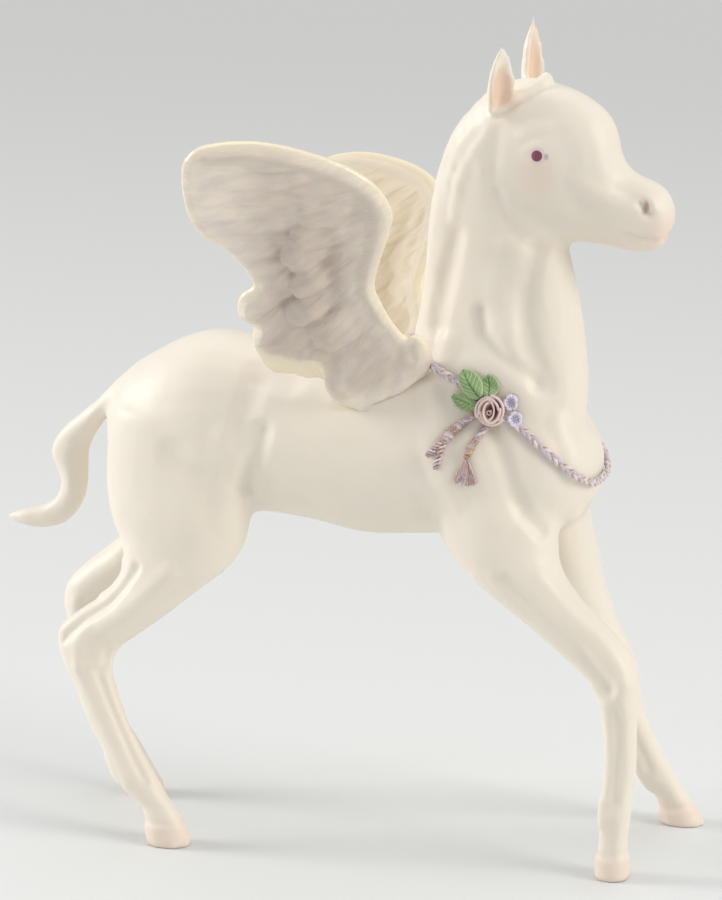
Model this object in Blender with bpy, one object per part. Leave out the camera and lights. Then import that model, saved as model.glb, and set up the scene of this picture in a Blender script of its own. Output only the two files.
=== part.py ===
"""Porcelain foal with raised wings and a flower garland round its neck.

The foal stands on four hooves, faces +X and has +Z up; its left side is +Y.
Sizes and points are written in millimetres and turned into metres as each mesh is made.
"""

import math

import bmesh
import bpy
import numpy as np
from mathutils import Vector
from mathutils.bvhtree import BVHTree

MM = 0.001

# Free space kept between neighbouring pieces.
GAP = 0.35

# Body: heights of its main lines and widths across it.
CROUP_HEIGHT = 162.0
BACK_HEIGHT = 156.0
BELLY_HEIGHT = 100.0
CHEST_WIDTH = 50.0
BARREL_WIDTH = 52.0
HIP_WIDTH = 52.0
NECK_WIDTH = 24.0
BROW_WIDTH = 28.0
MUZZLE_WIDTH = 17.0

# Legs: widths across them, and how far the lofts run on below the soles before the cut at height 0.
CANNON_WIDTH = 9.8
KNEE_WIDTH = 13.2
HOCK_WIDTH = 12.6
FETLOCK_WIDTH = 10.8
PASTERN_WIDTH = 9.2
HOOF_WIDTH = 12.6
SOLE_DEPTH = -2.0

# Ears: half width, wall, and the way each hollow faces.
EAR_HALF_WIDTH = 5.3
EAR_WALL = 1.9
NEAR_EAR_FACING = (0.75, -0.66, 0.0)
FAR_EAR_FACING = (0.94, -0.34, 0.0)

# Voxel sizes of the rough and the finished form, and the triangles kept.
ROUGH_VOXEL = 1.4
FINE_VOXEL = 0.8
BODY_TRIANGLES = 7000

# Wings, drawn flat as (back, up) from the root: how thick they are and how far they bow outwards.
FEATHER_THICKNESS = 2.4
FEATHER_ROLL = 11.0
BLADE_THICKNESS = 2.6
COVERT_LIFT = 0.55
WING_CAMBER = 2.5
WING_VOXEL = 0.6
WING_TRIANGLES = 2200

# How far up from its root a wing is joined to the body.
ROOT_REACH = 20.0

# Each wing's root, its turn outwards behind, its lean outwards at the top and its tip back.
RIGHT_WING_POSE = ((6.4, 19.0, BACK_HEIGHT - 1.3), 20.0, 25.0, 0.0)
LEFT_WING_POSE = ((1.5, 20.0, BACK_HEIGHT - 13.5), 27.0, 34.0, 16.0)

# Garland: where its braid crosses the withers and the chest, how far it bows up between, and its size.
GARLAND_TOP = (5.5, 0.0, BACK_HEIGHT + 7.0)
GARLAND_LOW = (65.5, 0.0, 123.0)
GARLAND_BOW = 4.8
BRAID_WIDTH = 2.6
BRAID_PITCH = 24.0
ON_BRAID = BRAID_WIDTH * 1.12 + 2 * GAP

# Rose on the right shoulder: its share of the way down the garland, its height above it, and its size.
ROSE_SHARE = 0.4946
ROSE_ABOVE = 4.55
ROSE_WIDTH = 8.9
ROSE_HEIGHT = 4.4

# Places beside the rose are given from its middle, as (along the garland, above it).
# Leaves as (root, tip, half width, lift over the leaves beside it).
LEAF_THICKNESS = 0.9
LEAVES = (
    ((-4.7, 1.2), (-14.3, 3.9), 2.8, LEAF_THICKNESS + GAP),
    ((-1.9, 3.4), (-6.0, 8.5), 2.5, 0.0),
    ((-3.9, -1.6), (-12.3, -4.8), 2.2, 0.0),
)

# Blossoms as (place, width, height, lift off the body).
BLOSSOMS = (
    ((3.4, 5.7), 4.6, 3.4, GAP),
    ((7.7, 2.4), 4.4, 2.0, ON_BRAID),
)

# Each tassel's path, from under the rose to its frayed end.
TASSELS = (
    ((-2.9, -4.1), (-4.3, -7.4), (-5.9, -13.0), (-6.2, -18.3), (-5.7, -23.0)),
    ((1.4, -3.7), (1.5, -7.9), (1.5, -12.9), (3.1, -17.1), (6.7, -22.2)),
)
TASSEL_WIDTH = 2.2

BISQUE = (0.86, 0.80, 0.70)
PEARL = (0.78, 0.71, 0.62)
LILAC = (0.72, 0.65, 0.70)
DUSTY_PINK = (0.72, 0.50, 0.48)
LEAF_GREEN = (0.24, 0.40, 0.20)
PALE_LILAC = (0.76, 0.70, 0.80)
MAUVE = (0.60, 0.45, 0.48)


def clear_scene():
    for old in list(bpy.data.objects):
        bpy.data.objects.remove(old)


def material(name, colour, roughness, metallic=0.0):
    made = bpy.data.materials.new(name)
    made.use_nodes = True
    shader = made.node_tree.nodes["Principled BSDF"]
    shader.inputs["Base Color"].default_value = (*colour, 1.0)
    shader.inputs["Roughness"].default_value = roughness
    shader.inputs["Metallic"].default_value = metallic
    return made


def unit(vectors):
    vectors = np.asarray(vectors, float)
    return vectors / np.linalg.norm(vectors, axis=-1, keepdims=True)


def resample(rows, spacing):
    """Rows of (x, y, z, sizes...) read off one smooth curve through them, about spacing apart."""
    rows = np.array(rows, float)
    chords = np.linalg.norm(np.diff(rows[:, :3], axis=0), axis=1)
    knots = np.concatenate([[0.0], np.cumsum(chords)])
    slopes = np.gradient(rows, knots, axis=0)
    count = max(2, round(knots[-1] / spacing)) + 1
    places = np.linspace(0.0, knots[-1], count)
    first = np.clip(np.searchsorted(knots, places, side="right") - 1, 0, len(knots) - 2)
    gap = (knots[first + 1] - knots[first])[:, None]
    t = (places - knots[first])[:, None] / gap
    return (
        (2 * t**3 - 3 * t**2 + 1) * rows[first]
        + (t**3 - 2 * t**2 + t) * gap * slopes[first]
        + (3 * t**2 - 2 * t**3) * rows[first + 1]
        + (t**3 - t**2) * gap * slopes[first + 1]
    )


def new_loops(mesh, rings):
    return [[mesh.verts.new(Vector(point) * MM) for point in ring] for ring in rings]


def join_loops(mesh, loops):
    for low, high in zip(loops, loops[1:]):
        for i in range(len(low)):
            j = (i + 1) % len(low)
            mesh.faces.new((low[i], low[j], high[j], high[i]))


def skin_rings(mesh, rings):
    """Joins rings of points, in millimetres, into one capped tube in a bmesh."""
    loops = new_loops(mesh, rings)
    join_loops(mesh, loops)
    mesh.faces.new(loops[0][::-1])
    mesh.faces.new(loops[-1])


def form(mesh, stations, sides=24, spacing=2.0):
    """Adds a closed limb drawn in side view to a bmesh.

    A station is (x, z of its first edge, x, z of its second edge, y, half width, egg). The ring through it
    is widest between the edges, and a positive egg makes it fuller towards the first edge.
    """
    rows = []
    for x1, z1, x2, z2, y, half_width, egg in stations:
        rows.append(((x1 + x2) / 2, y, (z1 + z2) / 2, (x1 - x2) / 2, (z1 - z2) / 2, half_width, egg))
    angles = np.arange(sides) * 2 * math.pi / sides
    rings = []
    for x, y, z, dx, dz, half_width, egg in resample(rows, spacing):
        up = np.sin(angles)
        across = half_width * np.cos(angles) * (1 + egg * up)
        rings.append(np.stack([x + dx * up, y + across, z + dz * up], axis=1))
    skin_rings(mesh, rings)


def tube(mesh, stations, sides=16, spacing=1.5, across=(0.0, 1.0, 0.0)):
    """Adds a closed tube to a bmesh through stations of (x, y, z, half width along across, half depth)."""
    rows = resample(stations, spacing)
    points = rows[:, :3]
    tangents = unit(np.gradient(points, axis=0))
    wide = np.array(across, float)
    side = unit(wide - (tangents @ wide)[:, None] * tangents)
    depth = np.cross(tangents, side)
    angles = np.arange(sides) * 2 * math.pi / sides
    rings = []
    for point, s, d, row in zip(points, side, depth, rows):
        rings.append(point + np.outer(np.cos(angles) * row[3], s) + np.outer(np.sin(angles) * row[4], d))
    skin_rings(mesh, rings)


def trunk():
    hip = HIP_WIDTH / 2
    barrel = BARREL_WIDTH / 2
    chest = CHEST_WIDTH / 2
    return [
        (-96, 136, -93, 114, 0, 8, 0),
        (-91, 144.5, -90, 106, 0, 15, -0.1),
        (-80, 153.5, -78, 102, 0, hip - 4, -0.1),
        (-62, CROUP_HEIGHT - 0.5, -62, 102, 0, hip, -0.12),
        (-46, CROUP_HEIGHT - 1.5, -44, 104, 0, hip - 1, -0.1),
        (-28, BACK_HEIGHT + 1, -27, 103, 0, barrel - 1, -0.1),
        (-8, BACK_HEIGHT, -8, BELLY_HEIGHT, 0, barrel, -0.12),
        (14, BACK_HEIGHT + 4, 14, BELLY_HEIGHT + 1.5, 0, barrel - 0.5, -0.18),
        (32, 159, 33, 103, 0, chest - 0.5, -0.2),
        (47, 152, 49, 105, 0, chest - 2, -0.1),
        (58, 144, 60, 109, 0, 18.5, 0),
        (66, 134, 66, 117, 0, 10, 0),
    ]


def neck():
    half = NECK_WIDTH / 2
    return [
        (58, 126, -2, BACK_HEIGHT - 24, 0, 20, 0),
        (62.5, 148, 2, BACK_HEIGHT - 4, 0, half + 6.5, 0.15),
        (61.5, 166, 7, 168, 0, half + 3.5, 0.25),
        (58.5, 184, 9.5, 184, 0, half + 1, 0.25),
        (54, 202, 11, 202, 0, half, 0.2),
        (52, 216, 14, 218, 0, half + 0.3, 0.15),
        (50, 228, 20, 232, 0, half + 0.3, 0.1),
        (46, 238, 30, 243.5, 0, 8.5, 0),
    ]


def head():
    brow = BROW_WIDTH / 2
    muzzle = MUZZLE_WIDTH / 2
    return [
        (29, 243, 27, 209, 0, 9, 0.1),
        (38, 246.5, 35, 203, 0, brow - 1.2, 0.1),
        (46.8, 247.2, 43.7, 198.5, 0, brow - 0.1, 0.1),
        (53.4, 246.2, 50.8, 197.6, 0, brow + 0.1, 0.1),
        (59.4, 244.0, 57, 197.3, 0, brow - 0.4, 0.12),
        (65.5, 240.3, 62, 197.0, 0, brow - 1.6, 0.15),
        (69.8, 235.3, 66, 196.8, 0, brow - 3, 0.15),
        (71.3, 227.2, 70, 196.3, 0, muzzle + 1.6, 0.1),
        (74.0, 222.2, 73.3, 195.7, 0, muzzle + 0.5, 0),
        (78.4, 219.5, 76.8, 195.2, 0, muzzle, 0),
        (83.2, 217.9, 81, 195.1, 0, muzzle, 0),
        (87.0, 215.2, 85, 196.4, 0, muzzle - 0.9, 0),
        (89.2, 211, 87.6, 200, 0, muzzle - 2.4, 0),
        (89.8, 208, 89.2, 204.5, 0, 3, 0),
    ]


def near_fore():
    cannon = CANNON_WIDTH / 2
    return [
        (54, 126, 10, 130, -9, 13, 0),
        (57, 112, 16, 114, -13, 13.5, 0),
        (58, 102, 21, 102.5, -15.5, 13, 0),
        (59.5, 97.3, 29.5, 93.6, -17.5, 11.8, 0),
        (63.9, 91.3, 38.2, 87.3, -19, 10.3, 0),
        (70.4, 85.4, 47.9, 81.2, -20.5, 9, 0),
        (78.0, 79.5, 57.5, 74.2, -22, 7.8, 0),
        (83.9, 73.1, 66.0, 67.9, -23, 7, 0),
        (86.5, 65.2, 71.6, 62.5, -23.5, KNEE_WIDTH / 2, 0),
        (86.7, 58, 73.4, 56.6, -23.5, cannon + 1.1, 0),
        (86.3, 47.6, 74.9, 46.6, -23.2, cannon + 0.1, 0),
        (86.2, 36.2, 75.1, 35.1, -23, cannon - 0.2, 0),
        (85.1, 26.7, 74.0, 25.6, -22.8, cannon + 0.2, 0),
        (84.2, 19.2, 73.6, 18.3, -22.5, FETLOCK_WIDTH / 2, 0),
        (83.4, 13, 73.8, 12.7, -22, PASTERN_WIDTH / 2 + 0.1, 0),
        (83.8, 8, 72.6, 7.7, -22, PASTERN_WIDTH / 2 + 0.9, 0),
        (84.6, 1, 72.2, 1, -22, HOOF_WIDTH / 2, 0),
        (84.8, SOLE_DEPTH, 72, SOLE_DEPTH, -22, HOOF_WIDTH / 2, 0),
    ]


def far_fore():
    cannon = CANNON_WIDTH / 2
    return [
        (54, 128, 14, 130, 9, 13, 0),
        (58.5, 116, 30, 114, 11, 13.5, 0),
        (60.2, 107, 40, 102.5, 12.5, 13, 0),
        (61.3, 97, 45.5, 90.2, 15, 12, 0),
        (63, 83.7, 47.8, 78.0, 18.5, 10, 0),
        (66.2, 71.5, 53.4, 65.9, 22, 8.2, 0),
        (69.7, 62.1, 58.4, 56.0, 25, 7, 0),
        (72.6, 51.4, 61.9, 46.0, 28, KNEE_WIDTH / 2 - 0.2, 0),
        (73.8, 41.5, 63.7, 38.3, 29.5, cannon + 0.9, 0),
        (77.2, 31.6, 67.0, 26.2, 31.5, cannon + 0.1, 0),
        (81.4, 21.9, 71.2, 16.6, 33.5, cannon, 0),
        (85.3, 14.2, 73.7, 11.8, 35.5, FETLOCK_WIDTH / 2, 0),
        (88.1, 9.4, 77.3, 8.6, 36.5, PASTERN_WIDTH / 2 + 0.2, 0),
        (90.4, 6.0, 77.2, 4.6, 37, PASTERN_WIDTH / 2 + 1, 0),
        (93.8, 0.6, 77.8, 0.6, 37.5, HOOF_WIDTH / 2, 0),
        (94.4, SOLE_DEPTH, 78.6, SOLE_DEPTH, 37.5, HOOF_WIDTH / 2, 0),
    ]


def near_hind():
    cannon = CANNON_WIDTH / 2
    return [
        (-42, 134, -91, 138, -10, 14, 0),
        (-40.5, 116, -92.5, 118, -13, 14.5, 0),
        (-43.4, 104, -90, 104, -16, 14.3, 0),
        (-44.7, 95.7, -86, 95, -18, 13.5, 0),
        (-49.2, 88.7, -84, 89.2, -20, 12, 0),
        (-57.2, 82.3, -85.4, 84.2, -21.5, 10, 0),
        (-67.6, 73.5, -91, 77.7, -23.5, 8.2, 0),
        (-77.3, 66, -98, 72.9, -25, 7.2, 0),
        (-84.6, 59.9, -105.2, 65.5, -26.5, HOCK_WIDTH / 2, 0),
        (-86, 54.7, -103.6, 57, -27.3, HOCK_WIDTH / 2 - 0.5, 0),
        (-83.8, 47.9, -98.8, 48.2, -28.5, cannon + 0.3, 0),
        (-78.5, 36.5, -92.6, 35.1, -30.5, cannon - 0.1, 0),
        (-73, 27.4, -87, 26.9, -32, cannon, 0),
        (-68.8, 21.5, -84, 20.2, -33, FETLOCK_WIDTH / 2, 0),
        (-65.3, 15.3, -79, 15.2, -33.5, FETLOCK_WIDTH / 2 - 0.3, 0),
        (-62, 11.7, -73.5, 11.4, -33.8, PASTERN_WIDTH / 2 + 0.2, 0),
        (-59.2, 7.3, -73.5, 7.1, -34, PASTERN_WIDTH / 2 + 0.9, 0),
        (-57, 1.0, -73, 1.0, -34, HOOF_WIDTH / 2, 0),
        (-56.6, SOLE_DEPTH, -72.8, SOLE_DEPTH, -34, HOOF_WIDTH / 2, 0),
    ]


def far_hind():
    cannon = CANNON_WIDTH / 2
    return [
        (-44, 134, -91, 138, 10, 14, 0),
        (-47, 116, -93, 118, 12.5, 14.3, 0),
        (-54, 103, -92.5, 103, 14, 13, 0),
        (-66, 93, -93.5, 93, 15, 11, 0),
        (-78, 84, -99, 86.5, 16.2, 9.6, 0),
        (-90, 76, -105.8, 80.4, 17, 8.2, 0),
        (-100, 68.6, -113, 75, 17.5, 7.2, 0),
        (-107, 61, -118.2, 69.8, 17.5, HOCK_WIDTH / 2 + 0.3, 0),
        (-107.4, 55, -120.2, 63.8, 17.5, HOCK_WIDTH / 2, 0),
        (-106, 49.6, -118.6, 56, 17.5, HOCK_WIDTH / 2 - 0.6, 0),
        (-104.2, 43, -116.3, 44.4, 17, cannon + 0.3, 0),
        (-101.3, 33.2, -113.3, 33.5, 16, cannon - 0.1, 0),
        (-96.7, 22.6, -108.7, 22.3, 15, cannon, 0),
        (-92.5, 16.6, -105.8, 15.4, 14.5, FETLOCK_WIDTH / 2, 0),
        (-89.4, 11.6, -101.6, 10.6, 14, FETLOCK_WIDTH / 2 - 0.2, 0),
        (-86.8, 8.4, -98, 7.6, 13.5, PASTERN_WIDTH / 2 + 0.2, 0),
        (-84.8, 5, -97.3, 4.4, 13, PASTERN_WIDTH / 2 + 0.9, 0),
        (-82.8, 0.6, -97.3, 0.6, 13, HOOF_WIDTH / 2, 0),
        (-82.4, SOLE_DEPTH, -97, SOLE_DEPTH, 13, HOOF_WIDTH / 2, 0),
    ]


def tail():
    return [
        (-84, 151, -88, 138, 0, 6, 0),
        (-93.6, 143, -94.7, 133, 0, 6, 0),
        (-100.7, 135.6, -98.2, 129, 0, 5.5, 0),
        (-107.4, 130.2, -101.2, 124.3, 0, 5.2, 0),
        (-113, 125.2, -103.3, 120.1, 0, 5.1, 0),
        (-116.8, 118, -104, 116, 0, 5.1, 0),
        (-114.6, 112.3, -104.1, 111.9, 0, 4.8, 0),
        (-113.2, 107.8, -104.4, 106.7, 0, 4.8, 0),
        (-114.4, 103.3, -105.9, 101.2, 0, 4.8, 0),
        (-117.7, 100.5, -110, 95.3, 0, 4.5, 0),
        (-122.4, 98.8, -117.6, 91.7, 0, 4, 0),
        (-127.9, 97.2, -126.1, 91.5, 0, 3.1, 0),
        (-132.4, 95.3, -131.9, 93.1, 0, 1.4, 0),
    ]


def ear(mesh, base, tip, facing):
    """Adds a pointed, cupped ear: a curved sheet with its hollow turned to facing."""
    base = np.array(base, float)
    tip = np.array(tip, float)
    axis = unit(tip - base)
    front = unit(np.array(facing) - (axis @ np.array(facing)) * axis)
    side = np.cross(axis, front)
    sweep = np.radians(np.linspace(-115, 115, 11))
    rings = []
    for t in np.linspace(0.0, 1.0, 15):
        width = EAR_HALF_WIDTH * (0.8 + 0.95 * t - 1.72 * t**2)
        depth = 0.8 * width
        wall = min(EAR_WALL, 0.55 * width)
        outer = [(width * math.sin(a), -depth * math.cos(a)) for a in sweep]
        inner = [((width - wall) * math.sin(a), -(depth - wall) * math.cos(a)) for a in sweep[::-1]]
        centre = base + (tip - base) * t
        rings.append([centre + side * x + front * y for x, y in outer + inner])
    skin_rings(mesh, rings)


def ears(mesh):
    ear(mesh, (37.0, -11, 238), (38.6, -14.5, 261.4), NEAR_EAR_FACING)
    ear(mesh, (41.2, 11, 240), (40.3, 14, 265.9), FAR_EAR_FACING)


def as_object(name, mesh, colour, roughness):
    bmesh.ops.recalc_face_normals(mesh, faces=mesh.faces)
    data = bpy.data.meshes.new(name)
    mesh.to_mesh(data)
    mesh.free()
    data.materials.append(material(name, colour, roughness))
    data.shade_smooth()
    made = bpy.data.objects.new(name, data)
    bpy.context.scene.collection.objects.link(made)
    return made


def settle(made):
    """Applies an object's modifiers to its mesh."""
    graph = bpy.context.evaluated_depsgraph_get()
    made.data = bpy.data.meshes.new_from_object(made.evaluated_get(graph))
    made.modifiers.clear()
    made.data.shade_smooth()


def fuse(made, voxel, rounds):
    """Makes one closed skin of the overlapping solids in an object and smooths it."""
    skin = made.modifiers.new("Skin", "REMESH")
    skin.mode = "VOXEL"
    skin.voxel_size = voxel * MM
    soften = made.modifiers.new("Soften", "SMOOTH")
    soften.factor = 0.5
    soften.iterations = rounds
    settle(made)


def thin_out(made, triangles):
    """Reduces an object's mesh to about this many triangles, keeping more where it curves more."""
    made.data.calc_loop_triangles()
    reduce = made.modifiers.new("Reduce", "DECIMATE")
    reduce.ratio = triangles / len(made.data.loop_triangles)
    settle(made)


def cut_at_ground(made):
    """Cuts the soles flat at height 0."""
    mesh = bmesh.new()
    mesh.from_mesh(made.data)
    cut = bmesh.ops.bisect_plane(
        mesh,
        geom=[*mesh.verts, *mesh.edges, *mesh.faces],
        dist=1e-6,
        plane_co=(0, 0, 0),
        plane_no=(0, 0, 1),
        clear_inner=True,
    )
    edges = [item for item in cut["geom_cut"] if isinstance(item, bmesh.types.BMEdge)]
    bmesh.ops.holes_fill(mesh, edges=edges, sides=0)
    bmesh.ops.recalc_face_normals(mesh, faces=mesh.faces)
    mesh.to_mesh(made.data)
    mesh.free()


class Skin:
    """The surface of a finished piece, asked for points in millimetres."""

    def __init__(self, made):
        mesh = bmesh.new()
        mesh.from_mesh(made.data)
        self.tree = BVHTree.FromBMesh(mesh)
        mesh.free()

    def cast(self, start, direction):
        """Point and normal first met from start along direction, or None."""
        hit, normal, _, _ = self.tree.ray_cast(Vector(start) * MM, Vector(direction))
        return None if hit is None else (np.array(hit) / MM, np.array(normal))

    def nearest(self, point):
        hit, normal, _, _ = self.tree.find_nearest(Vector(point) * MM)
        return np.array(hit) / MM, np.array(normal)

    def lifted(self, point, height):
        """The point moved off the surface, to height above its nearest spot."""
        hit, normal = self.nearest(point)
        return hit + normal * height

    def right_side(self, place, height):
        """The point this high above the right side of the piece at a place given as (x, z)."""
        hit, normal = self.cast((place[0], -90.0, place[1]), (0.0, 1.0, 0.0))
        return hit + normal * height


def carve(made, lines):
    """Raises, or with a negative height sinks, the surface along lines of (points, radius, height)."""
    count = len(made.data.vertices)
    places = np.empty(count * 3)
    normals = np.empty(count * 3)
    made.data.vertices.foreach_get("co", places)
    made.data.vertices.foreach_get("normal", normals)
    places = places.reshape(-1, 3) / MM
    normals = normals.reshape(-1, 3)
    moved = places.copy()
    for points, radius, height in lines:
        points = np.array(points, float)
        near = np.all((places > points.min(0) - radius) & (places < points.max(0) + radius), axis=1)
        here = places[near]
        reach = np.full(len(here), np.inf)
        for a, b in zip(points, points[1:]):
            t = np.clip((here - a) @ (b - a) / ((b - a) @ (b - a)), 0, 1)
            reach = np.minimum(reach, np.linalg.norm(here - a - t[:, None] * (b - a), axis=1))
        falloff = np.clip(1 - (reach / radius) ** 2, 0, 1) ** 2
        moved[near] += normals[near] * (height * falloff)[:, None]
    made.data.vertices.foreach_set("co", (moved * MM).ravel())
    made.data.update()


def both_sides(lines):
    """The lines and their mirror images across the foal's middle."""
    return lines + [([(x, -y, z) for x, y, z in points], radius, height) for points, radius, height in lines]


def muscle_lines():
    """Broad hollows and swells of the neck, shoulder, flank, thigh and cheek."""
    return both_sides([
        ([(39, 14, 192), (49, 16, 168), (57, 16, 148)], 8, -1.0),
        ([(36, 13, 232), (34, 12.5, 216), (40, 12.5, 204), (50, 12, 198)], 3.2, -0.8),
        ([(56, 13, 214), (64, 11, 209), (72, 9, 206)], 3.5, -0.5),
        ([(55, 13, 222), (64, 10.5, 217), (74, 8.6, 213)], 2.6, 0.4),
        ([(-36, 24, 120), (-40, 23, 108)], 8, -1.3),
        ([(14, 24, 118), (20, 22, 108)], 6, -1.0),
        ([(28, 24, 132), (34, 25, 118), (38, 24, 106)], 9, 0.8),
        ([(-74, 23, 112), (-80, 22, 96)], 7, -0.7),
        ([(-56, 25, 122), (-58, 25, 104)], 11, 0.9),
        ([(58, 8, 124), (60, 8, 112)], 6, 0.7),
    ]) + [([(62, 0, 128), (63, 0, 112)], 3.5, -0.8)]


def face_lines():
    """Eyes with their lids, nostrils and the line of the mouth."""
    return both_sides([
        ([(49.4, 13.6, 226.1), (49.5, 13.6, 226.1)], 2.9, 0.7),
        ([(45.6, 13.5, 227.4), (48.2, 13.5, 229.5), (51.6, 13, 229.3), (53.6, 12.4, 227.4)], 1.3, 0.45),
        ([(45.8, 13.5, 224.6), (48.6, 13.5, 222.9), (52.2, 13, 223.6)], 1.2, 0.3),
        ([(80.9, 8.2, 212.2), (83.2, 8, 209.2)], 1.9, -1.3),
        ([(79.4, 8.6, 213.2), (81.6, 8.4, 214.2), (84.2, 7.8, 211.4)], 1.4, 0.5),
        ([(88.6, 2, 202.8), (86, 5.5, 201.8), (82, 7.8, 201.6), (77, 8.5, 203)], 1.2, -0.6),
    ])


def mane_lines(skin):
    """Locks that fall from the crest to both sides, and the forelock between the ears."""
    crest = resample([(30, 0, 243.5), (20, 0, 232), (14, 0, 218), (11, 0, 202), (9.5, 0, 184), (7, 0, 168)], 5.6)
    lines = []
    for number, (x, _, z) in enumerate(crest):
        for side in (-1, 1):
            reach = 1 + 0.25 * math.sin(2.4 * number + side)
            steps = ((0, 1.2, 0), (1.4, 3.6, -6), (3.6, 6.4, -12), (5.2, 8.2, -19))
            lock = [(x + a * reach, side * b * reach, z + c * reach) for a, b, c in steps]
            lines.append(([skin.lifted(point, 0) for point in lock], 2.6, 0.4))
    for y in (-4.5, -1.5, 1.5, 4.5):
        lock = [(33, y, 246), (41, y * 0.9, 249), (49, y * 0.6, 248)]
        lines.append(([skin.lifted(point, 0) for point in lock], 1.7, 0.9))
    return lines


def tail_lines(skin):
    """Shallow grooves between the strands of the tail."""
    middle = [((x1 + x2) / 2, 0, (z1 + z2) / 2) for x1, z1, x2, z2, _, _, _ in tail()[2:]]
    lines = []
    for angle in range(0, 360, 60):
        turn = math.radians(angle)
        offset = np.array((math.cos(turn), math.sin(turn), 0.6 * math.cos(turn))) * 4
        lines.append(([skin.lifted(point + offset, 0) for point in middle[:-1]], 1.3, -0.4))
    return lines


def hoof_lines(skin):
    """A groove round each coronet, where the hoof meets the pastern."""
    lines = []
    for stations in (near_fore(), far_fore(), near_hind(), far_hind()):
        x1, z1, x2, z2, y, half_width, _ = stations[-3]
        ring = []
        for angle in np.linspace(0, 2 * math.pi, 17):
            up = math.sin(angle)
            x = (x1 + x2) / 2 + (x1 - x2) / 2 * up
            z = (z1 + z2) / 2 + (z1 - z2) / 2 * up
            ring.append((x, y + half_width * math.cos(angle), z))
        lines.append((ring, 1.3, -0.45))
    return lines


def foal_body():
    mesh = bmesh.new()
    for stations in (trunk(), neck(), head(), near_fore(), far_fore(), near_hind(), far_hind()):
        form(mesh, stations)
    body = as_object("foal_body", mesh, BISQUE, 0.5)
    fuse(body, ROUGH_VOXEL, 10)
    carve(body, muscle_lines())
    mesh = bmesh.new()
    mesh.from_mesh(body.data)
    form(mesh, tail())
    ears(mesh)
    mesh.to_mesh(body.data)
    mesh.free()
    fuse(body, FINE_VOXEL, 3)
    skin = Skin(body)
    carve(body, face_lines() + mane_lines(skin) + tail_lines(skin) + hoof_lines(skin))
    thin_out(body, BODY_TRIANGLES)
    cut_at_ground(body)
    return body


def flight_feathers():
    """Each flight feather as (base, tip, half width), in (back, up) from the wing's root."""
    primaries = [
        ((21.5, 76), (65.2, 82.3), 4.3),
        ((23, 72.5), (66.8, 76), 3.5),
        ((24.5, 68.5), (67, 70), 3.5),
        ((26, 65), (65.5, 64.3), 3.4),
        ((27, 62), (63, 59.2), 3.3),
        ((27.5, 59), (59, 54.5), 3.3),
        ((28, 55), (53.5, 49.5), 3.3),
        ((29, 52), (49, 44.6), 3.3),
        ((29.5, 48.5), (46.2, 39), 3.3),
    ]
    secondaries = [
        ((30, 44), (49.4, 28), 4.7),
        ((29, 39), (45, 16.8), 4.5),
        ((26.5, 33.5), (39, 10), 4.2),
        ((23.5, 28), (31, 8.2), 3.8),
        ((19.5, 22), (24.5, 9), 3.6),
    ]
    shoulder = [
        ((5.5, 10.5), (23, -2.7), 4.6),
        ((1, 6.5), (17.6, -7.8), 4.6),
        ((-3, 4.5), (6.7, -8.7), 4.4),
    ]
    return primaries + secondaries + shoulder


def feather(mesh, base, tip, half_width, lift=0.0, thickness=FEATHER_THICKNESS):
    """Adds a flat, round-ended feather, rolled a little about its own length."""
    base = np.array((*base, lift), float)
    tip = np.array((*tip, lift), float)
    shape = ((0, 0.5), (0.15, 0.85), (0.4, 1.05), (0.7, 1.1), (0.9, 1.0), (0.98, 0.7), (1.02, 0.3))
    stations = []
    for t, wide in shape:
        half_thickness = thickness / 2 * (1 - 0.25 * t) * min(1, 0.4 + wide)
        stations.append((*(base + (tip - base) * t), half_thickness, half_width * wide))
    along = unit(tip - base)
    roll = math.radians(FEATHER_ROLL)
    across = math.cos(roll) * np.array((0, 0, 1)) + math.sin(roll) * np.cross((0, 0, 1), along)
    tube(mesh, stations, sides=12, spacing=2.5, across=across)


def arm(mesh):
    """The rounded leading edge, from the shoulder to the wing's tip."""
    path = [
        (-3.2, 2, 3.4, 4.2), (-0.8, 10, 3.3, 4.0), (2.6, 17.5, 3.0, 3.6), (6.6, 26, 2.7, 3.2), (8.9, 36, 2.5, 2.8),
        (8.8, 46, 2.4, 2.7), (6, 55, 2.3, 2.6), (5.5, 62, 2.2, 2.6), (8.2, 69, 2.1, 2.6), (14.8, 74.2, 2, 2.5),
        (24, 79.2, 1.8, 2.4), (36, 83.6, 1.6, 2.2), (48, 85.9, 1.5, 2.1), (58, 84.9, 1.3, 2), (63, 82.2, 1.2, 1.8),
    ]
    tube(mesh, [(u, v, 0, thick, wide) for u, v, thick, wide in path], across=(0, 0, 1))


def blade(mesh):
    """The sheet that carries the feathers."""
    half = BLADE_THICKNESS / 2
    path = [
        (4, -3, 9), (10, 6, 12), (16, 18, 13), (19, 30, 13.5), (20, 42, 13), (20, 54, 13.5), (25, 65, 11.5),
        (34, 74, 9), (46, 79, 6.5), (56, 79.5, 4.5),
    ]
    tube(mesh, [(u, v, 0, half * (1.3 - v / 130), wide) for u, v, wide in path], sides=24, across=(0, 0, 1))


def coverts(mesh):
    """Three rows of short feathers over the roots of the flight feathers, on both faces of the wing."""
    for row, (start, reach) in enumerate(((-0.05, 0.6), (-0.2, 0.38), (-0.35, 0.2))):
        lift = (FEATHER_THICKNESS / 2) * 0.75 + COVERT_LIFT * row
        for base, tip, half_width in flight_feathers()[:14]:
            base = np.array(base, float)
            stretch = np.array(tip, float) - base
            for face in (-1, 1):
                feather(mesh, base + stretch * start, base + stretch * reach, half_width * 0.9, face * lift, 1.7)


def flat_wing(name):
    """A wing lying flat: x back, y up and z out from the body."""
    mesh = bmesh.new()
    blade(mesh)
    arm(mesh)
    for base, tip, half_width in flight_feathers():
        feather(mesh, base, tip, half_width)
    coverts(mesh)
    wing = as_object(name, mesh, PEARL, 0.3)
    fuse(wing, WING_VOXEL, 2)
    return wing


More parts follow.
